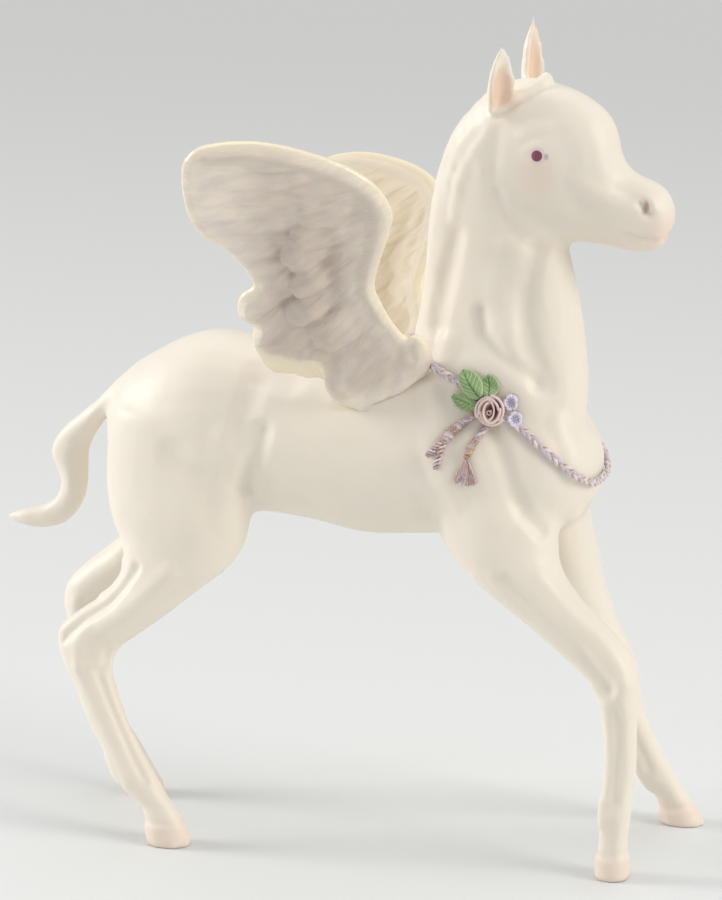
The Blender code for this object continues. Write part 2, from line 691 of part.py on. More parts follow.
def wing_axes(side, turn, lean, tip_back):
    """A wing's directions back, up and out, from its angles in degrees."""
    turn, lean, tip_back = (math.radians(angle) for angle in (turn, lean, tip_back))
    back = np.array((-math.cos(turn), side * math.sin(turn), 0))
    up = np.array((0, side * math.sin(lean), math.cos(lean)))
    up = unit(up - (up @ back) * back)
    out = side * np.cross(back, up)
    return (
        math.cos(tip_back) * back - math.sin(tip_back) * up,
        math.sin(tip_back) * back + math.cos(tip_back) * up,
        out,
    )


def raise_wing(wing, skin, side, pose):
    """Stands a flat wing on its root, bowed outwards, with its lower edge laid over the body.

    The inner face of the root is drawn in to the body, so the wing grows out of it.
    """
    (x, y, z), turn, lean, tip_back = pose
    root = np.array((x, side * y, z))
    back, up, out = wing_axes(side, turn, lean, tip_back)
    thick = FEATHER_THICKNESS / 2 + COVERT_LIFT
    for vertex in wing.data.vertices:
        u, v, n = np.array(vertex.co) / MM
        inner = min(max(0.5 - n / (2 * thick), 0), 1)
        low = min(max(1 - v / ROOT_REACH, 0), 1)
        flat = root + u * back + v * up
        n += WING_CAMBER * math.sin(math.pi * min(max(v / 90, 0), 1))
        met = skin.cast(flat + 70 * out, -out)
        if met is not None:
            rest = (met[0] - flat) @ out + GAP * 2
            n = max(n + max(rest + thick, 0.0), rest)
        point = flat + n * out
        pull = inner * low**2 * (3 - 2 * low)
        point += (skin.lifted(point, GAP * 2) - point) * pull
        vertex.co = Vector(point) * MM
    if side < 0:
        wing.data.flip_normals()


def keep_clear(piece, skin, line):
    """Pushes a piece's surface off the body and away from the braid."""
    from_body = GAP * 1.6
    from_line = BRAID_WIDTH / 2 * 1.15 + GAP * 1.6
    for vertex in piece.data.vertices:
        point = np.array(vertex.co) / MM
        offsets = point - line
        reach = np.linalg.norm(offsets, axis=1)
        nearest = reach.argmin()
        if reach[nearest] < from_line:
            point = line[nearest] + offsets[nearest] / reach[nearest] * from_line
        hit, normal = skin.nearest(point)
        if (point - hit) @ normal < from_body:
            point = hit + normal * from_body
        vertex.co = Vector(point) * MM


def braid_line(skin):
    """Closed line round the base of the neck, half the braid's width clear of the body."""
    top = np.array(GARLAND_TOP)
    low = np.array(GARLAND_LOW)
    centre = (top + low) / 2
    ahead = unit(low - top)
    above = np.cross(ahead, (0, 1, 0))
    above = above * np.sign(above[2])
    lift = BRAID_WIDTH / 2 * 1.12 + GAP
    points = []
    for angle in np.linspace(0, 2 * math.pi, 180, endpoint=False):
        direction = math.cos(angle) * ahead + math.sin(angle) * np.array((0, 1, 0))
        bow = GARLAND_BOW * (1 - math.cos(angle) ** 4) * above
        hit, normal = skin.cast(centre + bow + 90 * direction, -direction)
        points.append(hit + normal * lift)
    points = np.array(points)
    for _ in range(12):
        points = (np.roll(points, 1, axis=0) + 2 * points + np.roll(points, -1, axis=0)) / 4
        for i, point in enumerate(points):
            hit, normal = skin.nearest(point)
            if (point - hit) @ normal < lift:
                points[i] = hit + normal * lift
    return points


def braid(skin, line):
    """Three strands wound round the closed line, a whole number of thirds of a turn in all."""
    loop = np.vstack([line, line[:1]])
    lengths = np.concatenate([[0], np.cumsum(np.linalg.norm(np.diff(loop, axis=0), axis=1))])
    count = round(lengths[-1] / 2.0)
    places = np.arange(count) * lengths[-1] / count
    line = np.stack([np.interp(places, lengths, loop[:, axis]) for axis in range(3)], axis=1)
    tangents = unit(np.roll(line, -1, axis=0) - np.roll(line, 1, axis=0))
    thirds = round(3 * lengths[-1] / BRAID_PITCH)
    radii = BRAID_WIDTH / 2 * np.tile([1.1, 0.98, 0.98], 3)
    sides = len(radii)
    rings = []
    for i, (point, tangent) in enumerate(zip(line, tangents)):
        _, normal = skin.nearest(point)
        normal = unit(normal - (normal @ tangent) * tangent)
        side = np.cross(tangent, normal)
        angles = np.arange(sides) * 2 * math.pi / sides + 2 * math.pi / 3 * thirds * i / count
        rings.append(point + np.outer(np.cos(angles) * radii, normal) + np.outer(np.sin(angles) * radii, side))
    mesh = bmesh.new()
    loops = new_loops(mesh, rings)
    skip = thirds * sides // 3 % sides
    loops.append(loops[0][skip:] + loops[0][:skip])
    join_loops(mesh, loops)
    return as_object("garland_braid", mesh, LILAC, 0.5)


def seat(skin, place, height):
    """Centre and axes of a flower on the right side: two across it and one out of it."""
    centre = skin.right_side(place, height)
    _, out = skin.nearest(centre)
    along = unit(np.cross((0, 0, 1), out))
    return centre, along, np.cross(out, along), out


def flower(name, place, skin, width, height, lift, colour, petals, turns):
    """A round bloom: a cup, with petal tops laid out in a rosette or wound into a spiral."""
    centre, along, across, out = seat(skin, place, lift)
    steps = 30
    rings = []
    for reach, level in ((0.3, 0.0), (0.75, 0.35)):
        rings.append([(reach, level)] * steps)
    for reach in (1.0, 0.86, 0.7, 0.54, 0.38, 0.22, 0.08):
        ring = []
        for step in range(steps):
            angle = 2 * math.pi * step / steps
            wave = math.cos(turns * 2 * math.pi * reach - angle) if turns else math.cos(petals * angle)
            edge = 1 + 0.08 * math.cos(petals * angle) * reach
            ring.append((reach * edge, 0.9 - 0.35 * reach**2 + 0.12 * wave * (0.3 + reach) * (1 - 0.2 * reach)))
        rings.append(ring)
    points = []
    for ring in rings:
        turned = []
        for step, (reach, level) in enumerate(ring):
            angle = 2 * math.pi * step / steps
            flat = (along * math.cos(angle) + across * math.sin(angle)) * reach * width / 2
            turned.append(centre + flat + out * level * height)
        points.append(turned)
    mesh = bmesh.new()
    skin_rings(mesh, points)
    return as_object(name, mesh, colour, 0.5)


def leaf(name, skin, line, root, tip, half_width, lift):
    """A thin pointed leaf that lies over the braid and droops on to the body beside it."""
    root = np.array(root)
    along = np.array(tip) - root
    across = unit(np.array((-along[1], along[0])))
    braid_below = line[line[:, 1] < 0][:, [0, 2]]
    rings = []
    for t in np.linspace(0, 1, 9):
        wide = half_width * max(0.25 + 3.1 * t - 3.35 * t**2, 0) ** 0.8 + 0.12
        top = []
        bottom = []
        for s in (-1, -0.5, 0, 0.5, 1):
            place = root + along * t + across * wide * s
            off = np.linalg.norm(braid_below - place, axis=1).min() - BRAID_WIDTH * 0.75
            rest = GAP + lift + (ON_BRAID - GAP) * min(max(1 - off / 3.5, 0), 1)
            vein = -0.25 if s == 0 else 0.0
            bottom.append(skin.right_side(place, rest))
            top.append(skin.right_side(place, rest + LEAF_THICKNESS * (1 - 0.45 * s**2) + vein))
        rings.append(top + bottom[::-1])
    mesh = bmesh.new()
    skin_rings(mesh, rings)
    return as_object(name, mesh, LEAF_GREEN, 0.5)


def tassel(name, skin, places):
    """A short cord with a knot and a frayed end, lying on the body."""
    thin = TASSEL_WIDTH / 2
    widths = (thin, thin * 0.95, thin * 1.0, thin * 1.5, thin * 2.3)
    stations = []
    for (x, z), wide in zip(places, widths):
        x, y, z = skin.right_side((x, z), GAP + thin)
        stations.append((x, y, z, wide, thin))
    rows = resample(stations, 1.4)
    rings = []
    tangents = unit(np.gradient(rows[:, :3], axis=0))
    for row, tangent in zip(rows, tangents):
        hit, normal = skin.nearest(row[:3])
        point = hit + normal * (GAP + thin * 1.05)
        side = unit(np.cross(tangent, normal))
        angles = np.arange(10) * 2 * math.pi / 10
        rings.append(point + np.outer(np.cos(angles) * row[3], side) + np.outer(np.sin(angles) * row[4], normal))
    mesh = bmesh.new()
    skin_rings(mesh, rings)
    return as_object(name, mesh, MAUVE, 0.6)


def beside_rose(spots):
    """Turns spots from the rose's middle, as (along the garland, above it), into (x, z) in side view."""
    top = np.array(GARLAND_TOP)[[0, 2]]
    low = np.array(GARLAND_LOW)[[0, 2]]
    along = unit(low - top)
    above = np.array((-along[1], along[0]))
    rose = top + (low - top) * ROSE_SHARE + above * ROSE_ABOVE
    return [rose + along * a + above * b for a, b in spots]


def garland(skin, line):
    pieces = [braid(skin, line)]
    middle = beside_rose([(0, 0)])[0]
    pieces.append(flower("rose", middle, skin, ROSE_WIDTH, ROSE_HEIGHT, ON_BRAID, DUSTY_PINK, 5, 2.4))
    for number, (root, tip, half_width, lift) in enumerate(LEAVES, 1):
        pieces.append(leaf(f"leaf_{number}", skin, line, *beside_rose((root, tip)), half_width, lift))
    for number, (spot, width, height, lift) in enumerate(BLOSSOMS, 1):
        place = beside_rose([spot])[0]
        pieces.append(flower(f"blossom_{number}", place, skin, width, height, lift, PALE_LILAC, 5, 0))
    for number, spots in enumerate(TASSELS, 1):
        pieces.append(tassel(f"tassel_{number}", skin, beside_rose(spots)))
    return pieces


def stand_at_origin(pieces):
    """Puts the middle of the bottom of the whole figure's box at the origin."""
    corners = np.array([vertex.co for piece in pieces for vertex in piece.data.vertices])
    low = corners.min(0)
    high = corners.max(0)
    for piece in pieces:
        piece.location = (-(low[0] + high[0]) / 2, -(low[1] + high[1]) / 2, -low[2])


def main():
    clear_scene()
    body = foal_body()
    skin = Skin(body)
    line = braid_line(skin)
    wings = []
    for name, side, pose in (("right_wing", -1, RIGHT_WING_POSE), ("left_wing", 1, LEFT_WING_POSE)):
        wing = flat_wing(name)
        raise_wing(wing, skin, side, pose)
        keep_clear(wing, skin, line)
        thin_out(wing, WING_TRIANGLES)
        keep_clear(wing, skin, line)
        wings.append(wing)
    stand_at_origin([body, *wings, *garland(skin, line)])


main()
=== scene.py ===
"""Looks of the porcelain pegasus: a bisque foal, pearl wings and a painted garland.

The foal stands on four hooves, faces +X and has +Z up. Shapes are worked out in millimetres in the foal's
own frame, whose origin is on the ground under the barrel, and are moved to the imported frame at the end.
"""

import math

import bmesh
import bpy
import numpy as np
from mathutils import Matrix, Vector, noise
from mathutils.bvhtree import BVHTree


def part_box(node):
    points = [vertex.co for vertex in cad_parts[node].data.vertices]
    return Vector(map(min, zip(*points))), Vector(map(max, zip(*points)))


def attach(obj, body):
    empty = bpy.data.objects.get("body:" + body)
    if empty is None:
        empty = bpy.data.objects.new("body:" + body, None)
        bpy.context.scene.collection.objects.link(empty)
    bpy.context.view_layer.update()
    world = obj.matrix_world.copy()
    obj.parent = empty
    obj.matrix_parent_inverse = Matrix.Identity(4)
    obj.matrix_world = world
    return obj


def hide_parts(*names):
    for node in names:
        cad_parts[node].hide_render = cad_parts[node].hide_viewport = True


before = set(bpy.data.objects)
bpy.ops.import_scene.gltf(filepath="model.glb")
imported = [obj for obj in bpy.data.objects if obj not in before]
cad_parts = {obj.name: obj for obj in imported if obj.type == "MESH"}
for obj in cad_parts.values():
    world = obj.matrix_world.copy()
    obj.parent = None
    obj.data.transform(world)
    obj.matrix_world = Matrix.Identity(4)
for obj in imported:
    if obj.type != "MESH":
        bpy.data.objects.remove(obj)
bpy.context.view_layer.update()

MM = 0.001

# The foal's frame, found from where its tail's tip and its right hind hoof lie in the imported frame.
TAIL_TIP_X = -132.2
RIGHT_HOOF_Y = -39.9
body_low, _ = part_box("foal_body")
SHIFT = np.array((body_low.x / MM - TAIL_TIP_X, body_low.y / MM - RIGHT_HOOF_Y, 0.0))

# Camera: its angles, distance, what it looks at in the foal's frame, and the size of a picture point there.
AZIMUTH = 18.0
ELEVATION = 14.0
DISTANCE = 1500.0
LOOK_AT = (0.0, -35.5, 135.0)
MM_PER_POINT = 0.3085
PICTURE_HEIGHT = 900
SENSOR = 36.0

# Body: the skin's grain before detail, and rounds of smoothing.
BODY_VOXEL = 1.08
BODY_ROUNDS = 7

# Wings, drawn flat as (back, up) from the root.
WING_THICKNESS = 2.6
WING_CAMBER = 2.5
WING_VOXEL = 0.45
WING_SINK = 0.35
ROOT_REACH = 20.0
RIGHT_WING_POSE = ((6.4, 19.0, 154.7), 20.0, 25.0, 0.0)
LEFT_WING_POSE = ((1.5, 20.0, 142.5), 27.0, 34.0, 16.0)
WING_OUTLINE = (
    (-5, 17.5), (-2.5, 16.5), (1, 21), (5, 29), (7.5, 36), (6, 47), (3.5, 56.5), (2.5, 63), (4.5, 68.5),
    (9.5, 75), (15, 79), (21, 82), (29, 85), (38, 87.5), (46.5, 88.5), (55, 88), (62, 86), (65.5, 82),
    (66.2, 75.5), (65.5, 68.5), (63.5, 61.5), (60, 56), (54, 52), (49.5, 47), (46, 42), (44.5, 37.5),
    (48.5, 33.5), (49.5, 28.5), (48, 24.5), (44.5, 22), (45, 17.5), (44, 13.5), (41, 10.5), (35.5, 9),
    (31, 7.5), (26, 7.5), (23.5, 4.5), (23, -1.5), (20, -7.5), (14, -11), (7, -10.5), (0.5, -7),
    (-5.5, -0.5), (-8.5, 8.5),
)

# Garland: the braid's route and size, and where the flowers sit on the right shoulder.
GARLAND_TOP = (5.5, 0.0, 163.0)
GARLAND_LOW = (65.5, 0.0, 123.0)
GARLAND_BOW = 4.8
BRAID_WIDTH = 2.6
STRAND_PITCH = 8.0
STRAND_RADIUS = 0.66
GOLD_RADIUS = 0.24
ROSE_PLACE = (37.7, 147.0)

# Tones of painted thread, as how far it goes from its first colour to its second, and to gold.
LILAC_TONE = (0.15, 0.0)
WHITE_TONE = (0.95, 0.0)
MAUVE_TONE = (0.5, 0.12)
GOLD_TONE = (0.0, 1.0)


def unit(vectors):
    vectors = np.asarray(vectors, float)
    return vectors / np.linalg.norm(vectors, axis=-1, keepdims=True)


def smooth_step(values):
    t = np.clip(values, 0.0, 1.0)
    return t * t * (3 - 2 * t)


def resample(rows, spacing):
    """Points about spacing apart on one smooth curve through rows of (x, y, z)."""
    rows = np.array(rows, float)
    chords = np.linalg.norm(np.diff(rows, axis=0), axis=1)
    knots = np.concatenate([[0.0], np.cumsum(chords)])
    slopes = np.gradient(rows, knots, axis=0)
    count = max(2, round(knots[-1] / spacing)) + 1
    places = np.linspace(0.0, knots[-1], count)
    first = np.clip(np.searchsorted(knots, places, side="right") - 1, 0, len(knots) - 2)
    gap = (knots[first + 1] - knots[first])[:, None]
    t = (places - knots[first])[:, None] / gap
    return (
        (2 * t**3 - 3 * t**2 + 1) * rows[first]
        + (t**3 - 2 * t**2 + t) * gap * slopes[first]
        + (3 * t**2 - 2 * t**3) * rows[first + 1]
        + (t**3 - t**2) * gap * slopes[first + 1]
    )


def closed_curve(points, spacing):
    """A smooth closed curve through points, sampled about spacing apart."""
    points = np.array(points, float)
    overlap = 3
    looped = np.vstack([points[-overlap:], points, points[: overlap + 1]])
    lengths = np.concatenate([[0], np.cumsum(np.linalg.norm(np.diff(looped, axis=0), axis=1))])
    flat = np.zeros((len(looped), 3))
    flat[:, : points.shape[1]] = looped
    fine = resample(flat, spacing)
    places = np.linspace(0, lengths[-1], len(fine))
    inside = (places >= lengths[overlap]) & (places < lengths[overlap + len(points)] - spacing / 2)
    return fine[inside][:, : points.shape[1]]


def distance_to(line, points, closed=False):
    """Distance from each point to a line, both flat or both in space."""
    line = np.array(line, float)
    ends = np.roll(line, -1, axis=0) if closed else line[1:]
    starts = line if closed else line[:-1]
    reach = np.full(len(points), np.inf)
    for a, b in zip(starts, ends):
        t = np.clip((points - a) @ (b - a) / ((b - a) @ (b - a)), 0, 1)
        reach = np.minimum(reach, np.linalg.norm(points - a - t[:, None] * (b - a), axis=1))
    return reach


def packed(places):
    """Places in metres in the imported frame, from millimetres in the foal's frame."""
    return (np.asarray(places) + SHIFT) * MM


def unpacked(places):
    """Places in millimetres in the foal's frame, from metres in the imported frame."""
    return np.array(places) / MM - SHIFT


def add(name, data):
    """A new object of the scene that shows the data."""
    made = bpy.data.objects.new(name, data)
    bpy.context.scene.collection.objects.link(made)
    return made


def piece_from(name, vertices, faces):
    """A mesh object from points in millimetres in the foal's frame."""
    mesh = bpy.data.meshes.new(name)
    mesh.from_pydata(packed(vertices).tolist(), [], faces)
    mesh.update()
    mesh.shade_smooth()
    return add(name, mesh)


def settle(made):
    """Applies an object's modifiers to its mesh."""
    graph = bpy.context.evaluated_depsgraph_get()
    made.data = bpy.data.meshes.new_from_object(made.evaluated_get(graph))
    made.modifiers.clear()
    made.data.shade_smooth()


def soften(made, rounds):
    """Applies an object's modifiers, followed by a number of rounds of smoothing."""
    smoothing = made.modifiers.new("Soften", "SMOOTH")
    smoothing.factor = 0.5
    smoothing.iterations = rounds
    settle(made)


def fuse(made, voxel, rounds):
    """Makes one closed, even skin of an object's mesh and smooths it."""
    skin = made.modifiers.new("Skin", "REMESH")
    skin.mode = "VOXEL"
    skin.voxel_size = voxel * MM
    soften(made, rounds)


def places_of(made):
    """An object's points in millimetres in the foal's frame."""
    places = np.empty(len(made.data.vertices) * 3)
    made.data.vertices.foreach_get("co", places)
    return unpacked(places.reshape(-1, 3))


def set_places(made, places):
    made.data.vertices.foreach_set("co", packed(places).ravel())
    made.data.update()


def normals_of(made):
    normals = np.empty(len(made.data.vertices) * 3)
    made.data.vertices.foreach_get("normal", normals)
    return normals.reshape(-1, 3)


def store(made, name, values):
    """Keeps one number, or one vector, for each point of a mesh, for its material to read."""
    values = np.asarray(values, float)
    kind = "FLOAT_VECTOR" if values.ndim == 2 else "FLOAT"
    field = "vector" if values.ndim == 2 else "value"
    attribute = made.data.attributes.new(name, kind, "POINT")
    attribute.data.foreach_set(field, values.astype(np.float32).ravel())


class Skin:
    """A piece's surface, asked for points in millimetres in the foal's frame."""

    def __init__(self, made):
        mesh = bmesh.new()
        mesh.from_mesh(made.data)
        self.tree = BVHTree.FromBMesh(mesh)
        mesh.free()

    def cast(self, start, direction):
        hit, normal, _, _ = self.tree.ray_cast(Vector(packed(start)), Vector(direction))
        return None if hit is None else (unpacked(hit), np.array(normal))

    def nearest(self, point):
        hit, normal, _, _ = self.tree.find_nearest(Vector(packed(point)))
        return unpacked(hit), np.array(normal)

    def lifted(self, point, height):
        hit, normal = self.nearest(point)
        return hit + normal * height

    def right_side(self, place, height):
        hit, normal = self.cast((place[0], -90.0, place[1]), (0.0, 1.0, 0.0))
        return hit + normal * height


def carve(made, lines):
    """Raises, or with a negative height sinks, the surface along lines of (points, radius, height)."""
    places = places_of(made)
    normals = normals_of(made)
    moved = places.copy()
    for points, radius, height in lines:
        points = np.array(points, float)
        near = np.all((places > points.min(0) - radius) & (places < points.max(0) + radius), axis=1)
        falloff = np.clip(1 - (distance_to(points, places[near]) / radius) ** 2, 0, 1) ** 2
        moved[near] += normals[near] * (height * falloff)[:, None]
    set_places(made, moved)


def both_sides(lines):
    return lines + [([(x, -y, z) for x, y, z in points], radius, height) for points, radius, height in lines]


# Materials.


class Finish:
    """A node material on one Principled shader, with short calls for the nodes it uses."""

    def __init__(self, name, roughness, **sockets):
        self.material = bpy.data.materials.new(name)
        self.material.use_nodes = True
        self.tree = self.material.node_tree
        self.shader = self.tree.nodes["Principled BSDF"]
        self.shader.inputs["Roughness"].default_value = roughness
        for socket, value in sockets.items():
            self.shader.inputs[socket.replace("_", " ")].default_value = value

    def node(self, kind, **values):
        made = self.tree.nodes.new(kind)
        for key, value in values.items():
            setattr(made, key, value)
        return made

    def link(self, start, end):
        self.tree.links.new(start, end)

    def place(self):
        return self.node("ShaderNodeTexCoord").outputs["Object"]

    def attribute(self, name, output="Fac"):
        return self.node("ShaderNodeAttribute", attribute_name=name).outputs[output]

    def noise(self, scale, detail=2.0, place=None, stretch=None):
        """Noise from about 0 to 1, of a scale per metre, stretched along the axes if asked."""
        place = place or self.place()
        if stretch:
            mapping = self.node("ShaderNodeMapping")
            mapping.inputs["Scale"].default_value = stretch
            self.link(place, mapping.inputs["Vector"])
            place = mapping.outputs["Vector"]
        made = self.node("ShaderNodeTexNoise")
        made.inputs["Scale"].default_value = scale
        made.inputs["Detail"].default_value = detail
        self.link(place, made.inputs["Vector"])
        return made.outputs["Fac"]

    def ranged(self, value, low, high, to_low=0.0, to_high=1.0):
        made = self.node("ShaderNodeMapRange", interpolation_type="SMOOTHSTEP")
        numbers = {"From Min": low, "From Max": high, "To Min": to_low, "To Max": to_high}
        for socket, number in numbers.items():
            made.inputs[socket].default_value = number
        self.link(value, made.inputs["Value"])
        return made.outputs["Result"]

    def math(self, operation, a, b):
        made = self.node("ShaderNodeMath", operation=operation)
        for socket, value in zip(made.inputs, (a, b)):
            if isinstance(value, (int, float)):
                socket.default_value = value
            else:
                self.link(value, socket)
        return made.outputs["Value"]

    def mix(self, share, first, second):
        """A colour that goes from first to second as share goes from 0 to 1."""
        made = self.node("ShaderNodeMix", data_type="RGBA")
        sockets = (made.inputs["Factor"], made.inputs[6], made.inputs[7])
        for socket, value in zip(sockets, (share, first, second)):
            if isinstance(value, tuple):
                socket.default_value = (*value, 1.0)
            else:
                self.link(value, socket)
        return made.outputs[2]

    def parts(self, vector):
        """A vector's X, Y and Z."""
        made = self.node("ShaderNodeSeparateXYZ")
        self.link(vector, made.inputs[0])
        return made.outputs

    def marks(self):
        """The marks that a garland piece keeps for each point."""
        return self.parts(self.attribute("mark", "Vector"))

    def vector_math(self, operation, first, second=(0.0, 0.0, 0.0)):
        made = self.node("ShaderNodeVectorMath", operation=operation)
        made.inputs[1].default_value = tuple(second)
        self.link(first, made.inputs[0])
        return made.outputs

    def spot(self, centre, radii, soft):
        """A patch on both sides, 1 at a place in the foal's frame and fading over soft at its radii."""
        place = self.parts(self.vector_math("SUBTRACT", self.place(), SHIFT * MM)["Vector"])
        mirrored = self.node("ShaderNodeCombineXYZ")
        self.link(place["X"], mirrored.inputs["X"])
        self.link(self.math("ABSOLUTE", place["Y"], 0.0), mirrored.inputs["Y"])
        self.link(place["Z"], mirrored.inputs["Z"])
        moved = self.vector_math("SUBTRACT", mirrored.outputs[0], np.array(centre) * MM)
        scaled = self.vector_math("DIVIDE", moved["Vector"], np.array(radii) * MM)
        reach = self.vector_math("LENGTH", scaled["Vector"])
        return self.ranged(reach["Value"], 1.0 - soft, 1.0, 1.0, 0.0)

    def colour(self, value):
        self.link(value, self.shader.inputs["Base Color"])

    def bump(self, height, depth):
        """Adds relief of depth millimetres from a height between 0 and 1."""
        made = self.node("ShaderNodeBump")
        made.inputs["Distance"].default_value = depth * MM
        self.link(height, made.inputs["Height"])
        self.link(made.outputs["Normal"], self.shader.inputs["Normal"])

    def on(self, made):
        made.data.materials.clear()
        made.data.materials.append(self.material)


# The body's tints as (name, colour): blush and ear are the real airbrushed pinks, and shade is painted shade
# under the jaw and belly.
BODY_TINTS = (
    ("blush", (0.84, 0.62, 0.52)),
    ("shade", (0.74, 0.62, 0.42)),
    ("ear", (0.82, 0.64, 0.51)),
)

# Nostril, ring round the eye, corner of the eye and iris as (centre, radii, softness, colour).
FACE_PAINT = (
    ((82.0, 8.0, 210.8), (1.7, 3.0, 3.0), 0.6, (0.42, 0.22, 0.16)),
    ((49.6, 13.5, 226.2), (3.2, 4.0, 3.2), 0.5, (0.74, 0.58, 0.64)),
    ((52.3, 13.5, 226.0), (1.0, 4.0, 1.3), 0.5, (0.55, 0.50, 0.50)),
    ((49.5, 13.5, 226.2), (1.85, 5.0, 1.85), 0.12, (0.20, 0.055, 0.10)),
)


def bisque():
    """Unglazed ivory porcelain with faint mottling, airbrushed tints, painted shade under the jaw and belly,
    and painted eyes.
    """
    finish = Finish(
        "bisque", 0.5, Subsurface_Weight=0.25, Subsurface_Scale=0.003, Subsurface_Radius=(1.0, 0.7, 0.45),
        Coat_Weight=0.12, Coat_Roughness=0.35,
    )
    tinted = finish.mix(finish.noise(45, 3.0), (0.82, 0.755, 0.645), (0.86, 0.80, 0.70))
    for name, colour in BODY_TINTS:
        tinted = finish.mix(finish.attribute(name), tinted, colour)
    for centre, radii, soft, colour in FACE_PAINT:
        tinted = finish.mix(finish.spot(centre, radii, soft), tinted, colour)
    finish.colour(tinted)
    finish.bump(finish.noise(900, 3.0), 0.02)
    return finish


def pearl(name, cream, mauve, hollow_shade, barb_depth, gloss):
    """Porcelain under a pearl lustre: pale rims, painted shade in the hollows and in a band beside the
    leading edge, and fine barbs along the feathers.
    """
    finish = Finish(
        name, 0.55 - 0.25 * gloss, Subsurface_Weight=0.15, Subsurface_Scale=0.002,
        Specular_IOR_Level=0.15 + 0.35 * gloss, Coat_Weight=0.7 * gloss, Coat_Roughness=0.12,
    )
    drift = finish.noise(0.3, 3.0, finish.attribute("feather", "Vector"), (0.3, 1.0, 1.0))
    base = finish.mix(finish.ranged(drift, 0.3, 0.7), cream, mauve)
    # Painted shade, in the lustre's brown, in the hollows among the lumps and over the wing's middle.
    base = finish.mix(finish.attribute("hollow_shade"), base, hollow_shade)
    # Painted shade: a darker band beside the leading edge, where the rolled edge turns away from the light.
    base = finish.mix(finish.attribute("edge_shade"), base, (0.58, 0.50, 0.40))
    base = finish.mix(finish.attribute("rim"), base, (0.88, 0.80, 0.60))
    finish.colour(base)
    barbs = finish.noise(1.0, 2.0, finish.attribute("feather", "Vector"), (0.12, 1.1, 1.0))
    finish.bump(barbs, barb_depth)
    return finish


# Body.


def foal():
    """The foal's skin, evened out from its solid and finished with finer modelling."""
    made = add("foal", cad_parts["foal_body"].data.copy())
    mesh = bmesh.new()
    mesh.from_mesh(made.data)
    bmesh.ops.remove_doubles(mesh, verts=mesh.verts, dist=0.001 * MM)
    mesh.to_mesh(made.data)
    mesh.free()
    fuse(made, BODY_VOXEL, BODY_ROUNDS)
    skin = Skin(made)
    carve(made, both_sides(list(BODY_FORMS)) + leg_forms(skin))
    skin = Skin(made)
    carve(made, both_sides([*FACE_FORMS, *MANE_FORMS]) + coronets())
    return made


# Forms of the right side, as (points, radius, height): muscles and hollows of the neck, trunk and thigh.
BODY_FORMS = (
    (
        ((48, -10, 196), (46.5, -12, 184), (46, -13, 174.5), (47.5, -14.5, 165.5), (52.5, -13.5, 154.5)),
        5, -1.2,
    ),
    (
        ((31.5, -13.5, 176), (33, -15, 169.5), (39, -16.5, 163.5), (45.5, -16.5, 159), (50, -15, 155)),
        3.8, -1.4,
    ),
    (((22, -9.5, 199), (20, -9, 189), (17.5, -9, 178), (16, -9, 170)), 5.5, -1.3),
    (((39, -12, 196), (37.5, -13, 183), (40.5, -15, 171.5)), 6, 0.8),
    (((21, -12.5, 165), (16.5, -15, 152.5), (18, -22, 141), (22, -25.5, 129.5), (27, -24.5, 118.5)), 6, 1.1),
    (
        ((37.5, -20, 142), (42.5, -23.5, 131.5), (45.5, -23.5, 123), (49, -22.5, 115), (54, -20.5, 109.5)),
        4.2, -1.4,
    ),
    (((57, -11.5, 142), (61, -12, 135.5), (62.5, -14, 128.5)), 6, 1.2),
    (((31.5, -23, 137.5), (35, -25, 125.5), (42, -25.5, 113.5)), 6, 0.7),
    (((-40.5, -15.5, 152.5), (-35, -15.5, 151), (-30, -15.5, 150)), 7, -1.1),
    (((-41, -18.5, 149), (-42.5, -22.5, 140.5), (-43.5, -25, 132.5)), 6, -1.0),
    (((-36.5, -24, 136), (-38, -25, 129), (-41, -23.5, 122), (-43, -21.5, 116)), 5, -2.0),
    (((-64.5, -26, 126), (-58.5, -27, 120.5), (-54.5, -27, 112.5)), 8, -0.9),
    (((-48, -25, 132), (-49.5, -24, 119), (-48, -24, 106)), 7, 0.8),
    (((58, -8, 124), (60, -8, 112)), 5, 0.7),
)

# Forms of the head: jowl, face, brow, eye, lids, nostril, mouth and forelock.
FACE_FORMS = (
    (
        ((36, -11.5, 213), (37, -11.5, 207.5), (40.5, -11.5, 202.5), (45, -10.5, 199), (50.5, -8.5, 197)),
        4, -0.6,
    ),
    (
        ((56.5, -13, 232), (58.5, -13, 228), (58.5, -13.5, 222), (60, -12.5, 216), (62.5, -10.5, 211)),
        5.5, -0.6,
    ),
    (((44, -13, 231.5), (47, -12.5, 234.5), (51.5, -12.5, 235)), 3, 0.4),
    (((61.5, -13, 219), (68.5, -11, 214.5), (76, -8.5, 211.5)), 4, 0.6),
    (((49.4, -13.6, 226.1), (49.5, -13.6, 226.1)), 2.6, 0.8),
    (((45.6, -13.5, 227.4), (48, -13.5, 229.4), (51.4, -13, 229.2), (53.6, -12.5, 227.2)), 1.3, 0.5),
    (((45.8, -13.5, 224.6), (48.6, -13.5, 223), (52.2, -13, 223.7), (53.8, -12.5, 226)), 1.2, 0.35),
    (((80.2, -7, 212.2), (81.5, -6.8, 210.6), (83, -6.8, 208.8)), 1.9, -1.1),
    (((79.2, -7.4, 213), (81, -6.6, 214.3), (83.6, -6.4, 213.4), (85.1, -6.8, 210.5)), 1.4, 0.55),
    (((88, 0, 201.2), (85, -5.5, 200.4), (80.5, -7.2, 201.3), (75.5, -7.7, 202.8)), 1.2, -0.7),
    (((80, -5.7, 198.5), (77, -6, 199.3)), 2.2, 0.4),
    (((36.5, -9.5, 239.5), (40, -8.6, 242.2), (44, -6, 244.6), (47.3, -3, 246.4), (48, 0, 247)), 3.0, 1.2),
    (
        ((34.8, -11.2, 236.6), (38.6, -10.6, 239), (43.2, -9, 242), (47.5, -6, 244.4), (50.5, -2.5, 246)),
        1.7, -0.7,
    ),
    (((37, -4, 246.5), (43, -3, 247.4), (48, -1.5, 247.4)), 1.2, -0.5),
)

